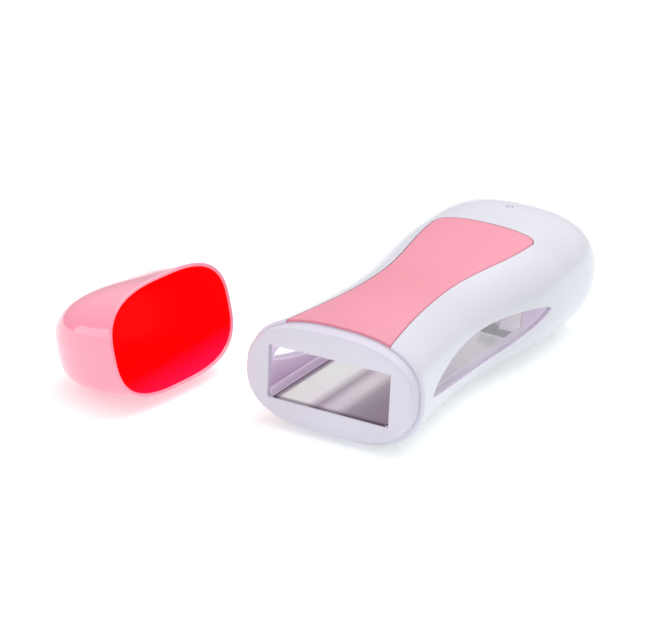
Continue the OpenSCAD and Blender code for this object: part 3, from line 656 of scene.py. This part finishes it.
def cap_row(t, off, matrix, lift=0.0):
    """Ring of the cap at a share t of its depth, moved inwards by off."""
    share = min(1, t / (1 - off / CAP_D))
    k = closing(share, CAP_DOME_N)
    a = max(0.02, (CAP_A - CAP_TAPER_W * t - off) * k)
    b = max(0.02, (CAP_B - CAP_TAPER_H * t - off) * k)

    def at(turn):
        x, z = oval(a, b, 0, CAP_N, turn)
        return matrix @ (Vector((x, CAP_D * t + lift, z)) * MM)

    return at


def cap():
    """Pulled-off cap: one wall with a full-round rim, pink outside, with the red inside painted in for light
    through the tinted wall.
    """
    matrix = cap_matrix()
    shares = [math.sin(math.pi / 2 * i / 56) ** 1.15 for i in range(57)]
    half = CAP_T / 2
    rows = []
    for share in reversed(shares[1:]):
        t = share * (1 - CAP_T / CAP_D)
        if t * CAP_D > half:
            rows.append(cap_row(t, CAP_T, matrix))
    for i in range(11):
        angle = math.pi * i / 10
        t = half / CAP_D * (1 - math.sin(angle))
        rows.append(cap_row(t, half + half * math.cos(angle), matrix))
    for share in shares[1:]:
        if share * CAP_D > half:
            rows.append(cap_row(min(share, 0.99995), 0.0, matrix))
    made = piece_of("pulled_off_cap", loft(rows, 192), "cap_body")
    smooth(made, 60)
    return made


# ---- materials ----
def new_material(name):
    made = bpy.data.materials.new(name)
    made.use_nodes = True
    return made, made.node_tree.nodes, made.node_tree.links, made.node_tree.nodes["Principled BSDF"]


def grain(nodes, links, scale, detail=3.0, stretch=None):
    """Noise on object coordinates; returns its height output."""
    where = nodes.new("ShaderNodeTexCoord")
    noise = nodes.new("ShaderNodeTexNoise")
    noise.inputs["Scale"].default_value = scale
    noise.inputs["Detail"].default_value = detail
    if stretch:
        mapping = nodes.new("ShaderNodeMapping")
        mapping.inputs["Scale"].default_value = stretch
        links.new(where.outputs["Object"], mapping.inputs["Vector"])
        links.new(mapping.outputs["Vector"], noise.inputs["Vector"])
    else:
        links.new(where.outputs["Object"], noise.inputs["Vector"])
    return noise.outputs["Fac"]


def ramp(nodes, links, source, low, high, start=0.35, stop=0.65):
    """Colours between two tones where the source rises from start to stop."""
    made = nodes.new("ShaderNodeValToRGB")
    made.color_ramp.elements[0].color = (*low, 1)
    made.color_ramp.elements[1].color = (*high, 1)
    made.color_ramp.elements[0].position = start
    made.color_ramp.elements[1].position = stop
    links.new(source, made.inputs["Fac"])
    return made.outputs["Color"]


def stops(nodes, links, source, tones):
    """Colours that change along the source at the given places; tones is a row of (place, colour)."""
    made = nodes.new("ShaderNodeValToRGB")
    steps = made.color_ramp
    while len(steps.elements) < len(tones):
        steps.elements.new(0.5)
    for step, (place_at, tone) in zip(steps.elements, tones):
        step.position = place_at
        step.color = (*tone, 1)
    links.new(source, made.inputs["Fac"])
    return made.outputs["Color"]


def along(nodes, links, axis, reach, tilt=0.0):
    """Share of the way through reach, a pair of millimetres, along one object axis tilted about Y.

    Y counts from the shoulder, as the sizes do.
    """
    where = nodes.new("ShaderNodeTexCoord")
    turned = nodes.new("ShaderNodeMapping")
    turned.inputs["Rotation"].default_value = (0, tilt, 0)
    split = nodes.new("ShaderNodeSeparateXYZ")
    share = nodes.new("ShaderNodeMapRange")
    zero = MID_Y if axis == "Y" else 0
    share.inputs["From Min"].default_value = (reach[0] - zero) * MM
    share.inputs["From Max"].default_value = (reach[1] - zero) * MM
    links.new(where.outputs["Object"], turned.inputs["Vector"])
    links.new(turned.outputs["Vector"], split.inputs["Vector"])
    links.new(split.outputs[axis], share.inputs["Value"])
    return share.outputs["Result"]


def spread(nodes, links, source, low, high):
    made = nodes.new("ShaderNodeMapRange")
    made.inputs["To Min"].default_value = low
    made.inputs["To Max"].default_value = high
    links.new(source, made.inputs["Value"])
    return made.outputs["Result"]


def bump(nodes, links, source, shader, strength, distance=0.0001):
    made = nodes.new("ShaderNodeBump")
    made.inputs["Strength"].default_value = strength
    made.inputs["Distance"].default_value = distance
    links.new(source, made.inputs["Height"])
    links.new(made.outputs["Normal"], shader.inputs["Normal"])


def rgb(red, green, blue):
    """Linear colour from 0-255 screen values."""
    def linear(value):
        value = value / 255
        return value / 12.92 if value <= 0.04045 else ((value + 0.055) / 1.055) ** 2.4

    return linear(red), linear(green), linear(blue)


def moulded_plastic(name, low, high, rough=(0.22, 0.3), pitch=900, strength=0.06, coat=0.0):
    """Plastic with a faint tone drift, uneven gloss and a fine moulded surface."""
    made, nodes, links, shader = new_material(name)
    drift = grain(nodes, links, 18, 2)
    fine = grain(nodes, links, pitch, 2)
    links.new(ramp(nodes, links, drift, low, high), shader.inputs["Base Color"])
    links.new(spread(nodes, links, drift, *rough), shader.inputs["Roughness"])
    bump(nodes, links, fine, shader, strength)
    shader.inputs["Coat Weight"].default_value = coat
    shader.inputs["Coat Roughness"].default_value = 0.08
    return made


def multiply(nodes, links, socket, tone):
    """Multiplies the colour that feeds a socket by a tone."""
    mixed = nodes.new("ShaderNodeMix")
    mixed.data_type = "RGBA"
    mixed.blend_type = "MULTIPLY"
    mixed.inputs["Factor"].default_value = 1.0
    links.new(socket.links[0].from_socket, mixed.inputs[6])
    links.new(tone, mixed.inputs[7])
    links.new(mixed.outputs[2], socket)


def shade_along(made, axis, reach, tone, sockets=("Base Color",)):
    """Multiplies a finish by a tone at the start of reach, fading to none by its end."""
    nodes, links = made.node_tree.nodes, made.node_tree.links
    shade = ramp(nodes, links, along(nodes, links, axis, reach), tone, (1, 1, 1), 0.0, 1.0)
    for socket in sockets:
        multiply(nodes, links, nodes["Principled BSDF"].inputs[socket], shade)


def glow(made, tone, strength):
    """Painted light: an even faint glow, standing in for light that comes through the plastic."""
    shader = made.node_tree.nodes["Principled BSDF"]
    shader.inputs["Emission Color"].default_value = (*tone, 1)
    shader.inputs["Emission Strength"].default_value = strength


def painted_light_along(made, axis, reach, tone, strength):
    """Painted light: a faint glow that fades through reach, standing in for the light a bright part beside it
    throws on it.
    """
    nodes, links = made.node_tree.nodes, made.node_tree.links
    glow(made, tone, strength)
    fading = spread(nodes, links, along(nodes, links, axis, reach), strength, 0.0)
    links.new(fading, nodes["Principled BSDF"].inputs["Emission Strength"])


def metal(name, low, high, rough, stretch=(1, 1, 1), pitch=400, strength=0.1):
    """Bare metal with streaks along the rolling direction."""
    made, nodes, links, shader = new_material(name)
    streaks = grain(nodes, links, pitch, 4, stretch)
    clouds = grain(nodes, links, 30, 2)
    links.new(ramp(nodes, links, clouds, low, high), shader.inputs["Base Color"])
    links.new(spread(nodes, links, streaks, *rough), shader.inputs["Roughness"])
    bump(nodes, links, streaks, shader, strength, 0.00005)
    shader.inputs["Metallic"].default_value = 1.0
    return made


def painted_glow_to_rear(nodes, links, shader, front, rear):
    """Painted light: the glow grows and turns greyer towards the rear of the bay, standing in for light that
    comes through the side windows.
    """
    deep = along(nodes, links, "Y", BAY_PAINTED_LIGHT)
    links.new(spread(nodes, links, deep, front, rear), shader.inputs["Emission Strength"])
    tinted = shader.inputs["Emission Color"].links[0].from_socket
    mixed = nodes.new("ShaderNodeMix")
    mixed.data_type = "RGBA"
    links.new(spread(nodes, links, deep, 0.0, 0.8), mixed.inputs["Factor"])
    links.new(tinted, mixed.inputs[6])
    mixed.inputs[7].default_value = (*rgb(204, 203, 198), 1)
    links.new(mixed.outputs[2], shader.inputs["Emission Color"])


def polished_plate():
    """Bay floor: soft light and dark streaks run along it, painted reflections standing in for the polish
    mirroring the bay's walls; they also tint its painted glow.
    """
    low_tone, high_tone = rgb(222, 222, 226), rgb(238, 238, 242)
    made = metal("polished_plate", low_tone, high_tone, (0.16, 0.3), (1, 12, 1), 260, 0.12)
    nodes, links = made.node_tree.nodes, made.node_tree.links
    shader = nodes["Principled BSDF"]
    across_bay = along(nodes, links, "X", (-PLATE_HALF, PLATE_HALF))
    # painted reflection: light and dark bands across the plate, in its colour and its glow
    light, mid, dark = rgb(222, 223, 218), rgb(202, 200, 200), rgb(156, 149, 154)
    tones = [(0.0, dark), (0.03, dark), (0.05, light), (0.28, light), (0.38, dark), (0.47, mid), (0.54, mid)]
    tones += [(0.63, dark), (1.0, rgb(134, 123, 132))]
    streaks = stops(nodes, links, across_bay, tones)
    links.new(streaks, shader.inputs["Base Color"])
    links.new(streaks, shader.inputs["Emission Color"])
    painted_glow_to_rear(nodes, links, shader, 0.28, 0.52)
    # painted shade: the plate's front edge dark, in the gap behind the lip
    shade_along(made, "Y", PLATE_SHADE, (0.35, 0.3, 0.36))
    return made


def clear_pane():
    """Smoky clear plastic: a little milky, with a gloss that grows towards the edges, and a faint painted
    glow.
    """
    made, nodes, links, shader = new_material("clear_pane")
    nodes.remove(shader)
    output = nodes["Material Output"]
    through = nodes.new("ShaderNodeBsdfTransparent")
    gloss = nodes.new("ShaderNodeBsdfGlossy")
    mix = nodes.new("ShaderNodeMixShader")
    facing = nodes.new("ShaderNodeLayerWeight")
    facing.inputs["Blend"].default_value = 0.5
    steep = nodes.new("ShaderNodeMath")
    steep.operation = "POWER"
    steep.inputs[1].default_value = 4.0
    share = nodes.new("ShaderNodeMapRange")
    share.inputs["To Min"].default_value = 0.04
    share.inputs["To Max"].default_value = 0.45
    haze = grain(nodes, links, 60, 2)
    links.new(ramp(nodes, links, haze, rgb(226, 226, 234), rgb(234, 234, 240)), through.inputs["Color"])
    links.new(spread(nodes, links, haze, 0.04, 0.08), gloss.inputs["Roughness"])
    links.new(facing.outputs["Facing"], steep.inputs[0])
    links.new(steep.outputs["Value"], share.inputs["Value"])
    links.new(share.outputs["Result"], mix.inputs["Fac"])
    front_milk = nodes.new("ShaderNodeBsdfDiffuse")
    back_milk = nodes.new("ShaderNodeBsdfTranslucent")
    milk = nodes.new("ShaderNodeMixShader")
    body = nodes.new("ShaderNodeMixShader")
    body.inputs["Fac"].default_value = 0.08
    tint = ramp(nodes, links, haze, rgb(236, 235, 238), rgb(246, 245, 248))
    links.new(tint, front_milk.inputs["Color"])
    links.new(tint, back_milk.inputs["Color"])
    links.new(front_milk.outputs["BSDF"], milk.inputs[1])
    links.new(back_milk.outputs["BSDF"], milk.inputs[2])
    links.new(through.outputs["BSDF"], body.inputs[1])
    links.new(milk.outputs["Shader"], body.inputs[2])
    painted_shine = nodes.new("ShaderNodeEmission")
    painted_shine.inputs["Color"].default_value = (1.0, 0.985, 0.99, 1)
    painted_shine.inputs["Strength"].default_value = 0.02
    lit = nodes.new("ShaderNodeAddShader")
    links.new(body.outputs["Shader"], lit.inputs[0])
    links.new(painted_shine.outputs["Emission"], lit.inputs[1])
    links.new(lit.outputs["Shader"], mix.inputs[1])
    links.new(gloss.outputs["BSDF"], mix.inputs[2])
    links.new(mix.outputs["Shader"], output.inputs["Surface"])
    return made


def frosted_back():
    """Inner face of a pane: lightly frosted, so it catches the light that falls through, with a painted glow
    added.
    """
    made, nodes, links, shader = new_material("frosted_back")
    nodes.remove(shader)
    output = nodes["Material Output"]
    through = nodes.new("ShaderNodeBsdfTransparent")
    frost = nodes.new("ShaderNodeBsdfTranslucent")
    painted_shine = nodes.new("ShaderNodeEmission")
    body = nodes.new("ShaderNodeMixShader")
    lit = nodes.new("ShaderNodeAddShader")
    haze = grain(nodes, links, 60, 2)
    links.new(ramp(nodes, links, haze, rgb(240, 239, 242), rgb(248, 247, 250)), frost.inputs["Color"])
    painted_shine.inputs["Color"].default_value = (1.0, 0.99, 0.985, 1)
    painted_shine.inputs["Strength"].default_value = 0.13
    body.inputs["Fac"].default_value = 0.16
    links.new(through.outputs["BSDF"], body.inputs[1])
    links.new(frost.outputs["BSDF"], body.inputs[2])
    links.new(body.outputs["Shader"], lit.inputs[0])
    links.new(painted_shine.outputs["Emission"], lit.inputs[1])
    links.new(lit.outputs["Shader"], output.inputs["Surface"])
    return made


def cap_inside():
    """Inside of the cap, painted red for the light that comes through the tinted pink wall, with a painted
    glow that turns pinker low down near the rim.
    """
    made = moulded_plastic("cap_red_painted_light", rgb(214, 3, 10), rgb(222, 5, 14), (0.5, 0.6), 700, 0.03)
    nodes, links = made.node_tree.nodes, made.node_tree.links
    shader = nodes["Principled BSDF"]
    shader.inputs["Specular IOR Level"].default_value = 0.15
    rise = along(nodes, links, "Z", RIM_GLOW, math.radians(RIM_GLOW_TURN))
    light = ramp(nodes, links, rise, rgb(255, 26, 112), rgb(255, 0, 0), 0.0, 1.0)
    links.new(light, shader.inputs["Emission Color"])
    shader.inputs["Emission Strength"].default_value = 0.4
    return made


def painted_glow_plastic(name, low_tone, high_tone, height, strength):
    """Painted light: plastic tinted lavender, with a glow that stands in for the violet light coming through
    the thin walls.

    The painted glow's tone changes through height, darker low down; strength is that of the glow in front and
    at the rear.
    """
    made = moulded_plastic(name, rgb(208, 200, 212), rgb(218, 210, 221), (0.35, 0.45))
    nodes, links = made.node_tree.nodes, made.node_tree.links
    shader = nodes["Principled BSDF"]
    rise = along(nodes, links, "Z", height)
    links.new(ramp(nodes, links, rise, low_tone, high_tone, 0.0, 1.0), shader.inputs["Emission Color"])
    painted_glow_to_rear(nodes, links, shader, *strength)
    return made


def bay_rails():
    """Tray of the bay, with painted shade: its rails turn near black in the slit beside the plate, and the
    right fence's outer part darker.
    """
    # painted light and shade: a lavender glow, darker low by the rails, brighter towards the rear
    made = painted_glow_plastic("tray_painted_lavender_light", rgb(90, 76, 92), rgb(186, 160, 190), RAIL_RISE, (0.24, 0.5))
    nodes, links = made.node_tree.nodes, made.node_tree.links
    shader = nodes["Principled BSDF"]
    right = along(nodes, links, "X", [RAIL_IN + step for step in SLIT_SIDE])
    left = along(nodes, links, "X", [-RAIL_IN - step for step in SLIT_SIDE])
    clear_of_slit = along(nodes, links, "Z", [MOUTH_Z0 + step for step in SLIT_ABOVE])
    fence = along(nodes, links, "X", [RAIL_IN + step for step in FENCE_OUTER])
    # painted shade on the right fence's outer part
    shaded = ramp(nodes, links, fence, rgb(204, 198, 204), (1, 1, 1), 0.0, 1.0)
    for share in (right, left):
        larger = nodes.new("ShaderNodeMath")
        larger.operation = "MAXIMUM"
        links.new(clear_of_slit, larger.inputs[0])
        links.new(share, larger.inputs[1])
        clear_of_slit = larger.outputs["Value"]
    # painted shade: near black in the slit beside the plate, in the colour and the painted glow
    slit = ramp(nodes, links, clear_of_slit, rgb(30, 20, 32), (1, 1, 1), 0.0, 1.0)
    for socket in ("Base Color", "Emission Color"):
        for tone in (slit, shaded):
            multiply(nodes, links, shader.inputs[socket], tone)
    return made


def inside_oval(x, z, a, b):
    return (abs(x) / a) ** SECTION_N + (abs(z) / b) ** SECTION_N < 1


def line_inside(made, material, off):
    """Gives the faces that lie deeper than off inside the body's skin their own finish."""
    made.data.materials.append(material)
    slot_number = len(made.data.materials) - 1
    for face in made.data.polygons:
        x, y, z = face.center.x / MM, face.center.y / MM + MID_Y, face.center.z / MM
        a, b, c = body_section(y, off)
        if y > 0.3 and a > 0 and b > 0 and inside_oval(x, z - c, a, b):
            face.material_index = slot_number


def line_window_cut(made, material):
    """Gives the cut edges of the window openings their own finish."""
    made.data.materials.append(material)
    slot_number = len(made.data.materials) - 1
    for face in made.data.polygons:
        x, y, z = face.center.x / MM, face.center.y / MM + MID_Y, face.center.z / MM
        near = WIN_Y0 < y < WIN_Y1 and abs(z - (WIN_Z0 + WIN_Z1) / 2) < WIN_UP + WIN_DOWN
        below_skin = skin_side(y, z) - abs(x) > 0.3
        if near and below_skin and face.material_index == 0 and abs(face.normal.x) < 0.5:
            face.material_index = slot_number


def paint(made, *materials):
    made.data.materials.clear()
    for material in materials:
        made.data.materials.append(material)


def finish_of(node, material):
    """Gives a carried-over CAD node its finish."""
    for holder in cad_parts[node].material_slots:
        holder.material = material


SHELL = moulded_plastic("white_shell", rgb(204, 203, 212), rgb(209, 208, 217), (0.2, 0.27))
COLLAR = moulded_plastic("collar_white", rgb(209, 204, 217), rgb(214, 209, 222), (0.4, 0.48))
PANEL = moulded_plastic("pink_grip", rgb(220, 135, 153), rgb(224, 141, 159), (0.42, 0.52), 1400, 0.12)
CAP_OUT = moulded_plastic("cap_pink", rgb(238, 138, 160), rgb(242, 145, 166), (0.08, 0.12), 700, 0.02, 1.0)
# painted light: a faint pink glow on the cap's outside
glow(CAP_OUT, rgb(255, 130, 156), 0.1)
CAP_IN = cap_inside()
TRAY = bay_rails()
BLACK = moulded_plastic("black_plastic", rgb(28, 28, 30), rgb(38, 38, 41), (0.35, 0.5), 1200, 0.15)
LAMP = moulded_plastic("lamp_lens", rgb(186, 184, 198), rgb(196, 194, 208), (0.15, 0.25))
BOARD = moulded_plastic("board_green", rgb(40, 92, 58), rgb(52, 108, 68), (0.4, 0.55))
RESISTOR = moulded_plastic("resistor_body", rgb(196, 170, 128), rgb(208, 182, 140), (0.4, 0.5))
CHIP = moulded_plastic("ceramic_chip", rgb(150, 146, 140), rgb(166, 161, 154), (0.6, 0.75))
MICA = moulded_plastic("mica_sheet", rgb(176, 166, 140), rgb(192, 182, 158), (0.35, 0.5))
FILM = moulded_plastic("amber_film", rgb(196, 128, 44), rgb(208, 142, 58), (0.2, 0.3))
FUSE = moulded_plastic("fuse_case", rgb(222, 218, 206), rgb(232, 228, 218), (0.35, 0.45))
CASE = moulded_plastic("thermostat_case", rgb(58, 56, 54), rgb(70, 68, 66), (0.35, 0.5))
RED_LEAD = moulded_plastic("red_lead", rgb(186, 34, 36), rgb(200, 44, 44), (0.4, 0.5))
BLUE_LEAD = moulded_plastic("blue_lead", rgb(36, 74, 168), rgb(46, 86, 182), (0.4, 0.5))
WHITE_LEAD = moulded_plastic("white_lead", rgb(224, 224, 222), rgb(234, 234, 232), (0.4, 0.5))
PLATE = polished_plate()
SPRING = metal("spring_steel", rgb(176, 173, 177), rgb(190, 187, 191), (0.3, 0.42), (1, 6, 1), 300)
PLATED = metal("plated_steel", rgb(176, 176, 180), rgb(200, 200, 204), (0.22, 0.36))
BRASS = metal("pin_brass", rgb(206, 184, 134), rgb(220, 200, 150), (0.15, 0.26))
# painted light and shade: the housing's inside glows lavender, darker low down, brighter towards the rear
INSIDE = painted_glow_plastic("shell_inside", rgb(84, 44, 84), rgb(228, 206, 228), SIDE_RISE, (0.45, 0.6))
# painted light: the window openings' cut edges glow faintly, so they read lit
CUT_EDGE = moulded_plastic("window_cut_edge", rgb(212, 205, 216), rgb(218, 211, 222), (0.4, 0.5))
glow(CUT_EDGE, rgb(226, 212, 228), 0.2)
CLEAR = clear_pane()
FROST = frosted_back()
# painted shade: a deeper pink for the inlay's side faces, so its edge reads shaded
PANEL_SIDE_PAINTED_SHADE = moulded_plastic("pink_edge_painted_shade", rgb(176, 62, 98), rgb(186, 70, 106), (0.5, 0.6), 1400, 0.1)
BOTH = ("Base Color", "Emission Color")
# painted shade: the shell darker just behind the shoulder, in the step round the neck
shade_along(SHELL, "Y", SHOULDER_SHADE, (0.9, 0.88, 0.93))
# painted light: a faint glow on the shoulder's forward ring
painted_light_along(SHELL, "Y", SHOULDER_PAINTED_LIGHT, rgb(228, 224, 234), 0.2)
# painted shade: the neck's side darker behind its face
shade_along(COLLAR, "Y", FACE_SHADE, (0.93, 0.93, 0.94))
# the spring's front part near black, its rear end bare steel
shade_along(SPRING, "Y", SPRING_TIP, (0.08, 0.075, 0.08))
# painted shade: the tray and its painted glow darker and greyer high up, on the rear wall
shade_along(TRAY, "Z", REAR_WALL_Z, (0.86, 0.9, 0.8), BOTH)
# painted shade: the inside darker towards the rear tip
shade_along(INSIDE, "Y", REAR_SHADE, (0.86, 0.76, 0.88), BOTH)

# ---- pieces ----
shell = housing()
paint(shell, SHELL)
line_inside(shell, INSIDE, WALL - 0.3)
line_window_cut(shell, CUT_EDGE)
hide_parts("main_shell")

pan = base_pan()
paint(pan, SHELL)
line_inside(pan, INSIDE, WALL - 0.3)
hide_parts("base_shell")

front = collar()
paint(front, COLLAR, INSIDE)
for face in front.data.polygons:
    spot = face.center / MM
    behind_face = spot.y + MID_Y > FACE_T - NECK_LEN - 0.1
    if behind_face and inside_oval(spot.x, spot.z - NECK_Z, NECK_W / 2 - 1.2, NECK_H / 2 - 1.2):
        face.material_index = 1
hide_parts("front_collar")

inlay = grip_panel()
paint(inlay, PANEL, PANEL_SIDE_PAINTED_SHADE)
# the faces below the inlay's top take the painted shade
for face in inlay.data.polygons:
    spot = face.center / MM
    if spot.y + MID_Y > 2 and spot.z < skin_top(spot.x, spot.y + MID_Y) - 0.3:
        face.material_index = 1
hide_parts("grip_panel")

for node, side in (("window_right", 1), ("window_left", -1)):
    glazing = pane("pane_" + node.split("_")[1], side)
    paint(glazing, CLEAR)
    line_inside(glazing, FROST, WALL + 0.3)
    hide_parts(node)

pulled_cap = cap()
paint(pulled_cap, CAP_OUT, CAP_IN)
inward = cap_matrix().inverted()
for face in pulled_cap.data.polygons:
    local = inward @ face.center
    face_out = (inward.to_3x3() @ face.normal).dot(Vector((local.x, 0, local.z)))
    if local.y > CAP_T / 2 * MM and (face_out < 0 or (inward.to_3x3() @ face.normal).y < -0.3):
        face.material_index = 1
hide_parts("cap")

FINISHES = {
    "bay_tray": TRAY,
    "cartridge_spring": SPRING,
    "heater_plate": PLATE,
    "ptc_chips": CHIP,
    "contact_strips": PLATED,
    "insulating_film": FILM,
    "clamp_bar": PLATED,
    "clamp_screws": PLATED,
    "heat_shield": MICA,
    "thermostat": CASE,
    "thermal_fuse": FUSE,
    "inlet_socket": BLACK,
    "inlet_pins": BRASS,
    "lamp_board": BOARD,
    "lamp": LAMP,
    "dropper_resistor": RESISTOR,
    "rectifier_diode": BLACK,
    "live_lead": RED_LEAD,
    "neutral_lead": BLUE_LEAD,
    "lamp_leads": WHITE_LEAD,
    "crimp_caps": BLACK,
    "housing_screws": PLATED,
}
for node, material in FINISHES.items():
    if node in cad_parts:
        finish_of(node, material)

# ---- floor, light and camera ----
scene = bpy.context.scene
scene.view_settings.view_transform = "Standard"


def white_floor():
    bm = bmesh.new()
    bmesh.ops.create_grid(bm, x_segments=4, y_segments=4, size=4)
    floor = piece_of("floor", bm, body=None)
    made, nodes, links, shader = new_material("floor_white")
    clouds = grain(nodes, links, 2, 2)
    links.new(ramp(nodes, links, clouds, rgb(224, 231, 229), rgb(226, 233, 231)), shader.inputs["Base Color"])
    shader.inputs["Roughness"].default_value = 0.9
    shader.inputs["Specular IOR Level"].default_value = 0.1
    shader.inputs["Emission Color"].default_value = (1, 1, 1, 1)
    shader.inputs["Emission Strength"].default_value = 0.36
    paint(floor, made)


def softbox(name, place_at, aim, size, power_watts, colour=(1, 1, 1)):
    light = bpy.data.lights.new(name, "AREA")
    light.shape = "RECTANGLE"
    light.size, light.size_y = size
    light.energy = power_watts
    light.color = colour
    made = bpy.data.objects.new(name, light)
    scene.collection.objects.link(made)
    made.location = Vector(place_at)
    made.rotation_euler = (Vector(aim) - Vector(place_at)).to_track_quat("-Z", "Y").to_euler()


def surroundings():
    world = bpy.data.worlds.new("studio")
    scene.world = world
    world.use_nodes = True
    nodes, links = world.node_tree.nodes, world.node_tree.links
    backdrop = nodes["Background"]
    where = nodes.new("ShaderNodeTexCoord")
    split = nodes.new("ShaderNodeSeparateXYZ")
    links.new(where.outputs["Generated"], split.inputs["Vector"])
    tones = [(0.0, (0.36, 0.36, 0.37)), (0.2, (0.5, 0.5, 0.51)), (1.0, (1, 1, 1))]
    sky = stops(nodes, links, split.outputs["Z"], tones)
    links.new(sky, backdrop.inputs["Color"])
    backdrop.inputs["Strength"].default_value = 1.1


white_floor()
surroundings()
softbox("top_box", (0.1, 0.35, 1.1), (0, 0, 0), (1.2, 1.2), 8)
softbox("low_box", (-0.84, -1.0, 0.16), (-0.1, -0.03, 0.1), (1.6, 0.32), 2.4)

# the fitted camera, in millimetres round the shoulder's middle
CAM_FROM, CAM_TURN, CAM_DOWN, CAM_ROLL = 1100.0, 28.024657, 24.166521, 2.838008
FOCAL_PX, CENTRE_U, CENTRE_V = 2790.94998956, 332.719455, 436.582461
PHOTO_W, PHOTO_H = 649, 630


def camera():
    turn, down, roll = (math.radians(v) for v in (CAM_TURN, CAM_DOWN, CAM_ROLL))
    right = Vector((math.cos(turn), math.sin(turn), 0))
    forward = Vector((-math.sin(turn) * math.cos(down), math.cos(turn) * math.cos(down), -math.sin(down)))
    up = right.cross(forward)
    across_axis = math.cos(roll) * right + math.sin(roll) * up
    up_axis = -math.sin(roll) * right + math.cos(roll) * up
    lens = bpy.data.cameras.new("photo_view")
    made = bpy.data.objects.new("photo_view", lens)
    scene.collection.objects.link(made)
    place_at = (-forward * CAM_FROM - Vector((0, MID_Y, 0))) * MM
    axes = Matrix((across_axis, up_axis, -forward)).transposed().to_4x4()
    made.matrix_world = Matrix.Translation(place_at) @ axes
    lens.sensor_fit = "HORIZONTAL"
    lens.sensor_width = 36
    lens.lens = FOCAL_PX * 36 / PHOTO_W
    lens.shift_x = -(CENTRE_U - PHOTO_W / 2) / PHOTO_W
    lens.shift_y = (CENTRE_V - PHOTO_H / 2) / PHOTO_W
    lens.clip_start, lens.clip_end = 0.02, 30
    scene.camera = made


camera()
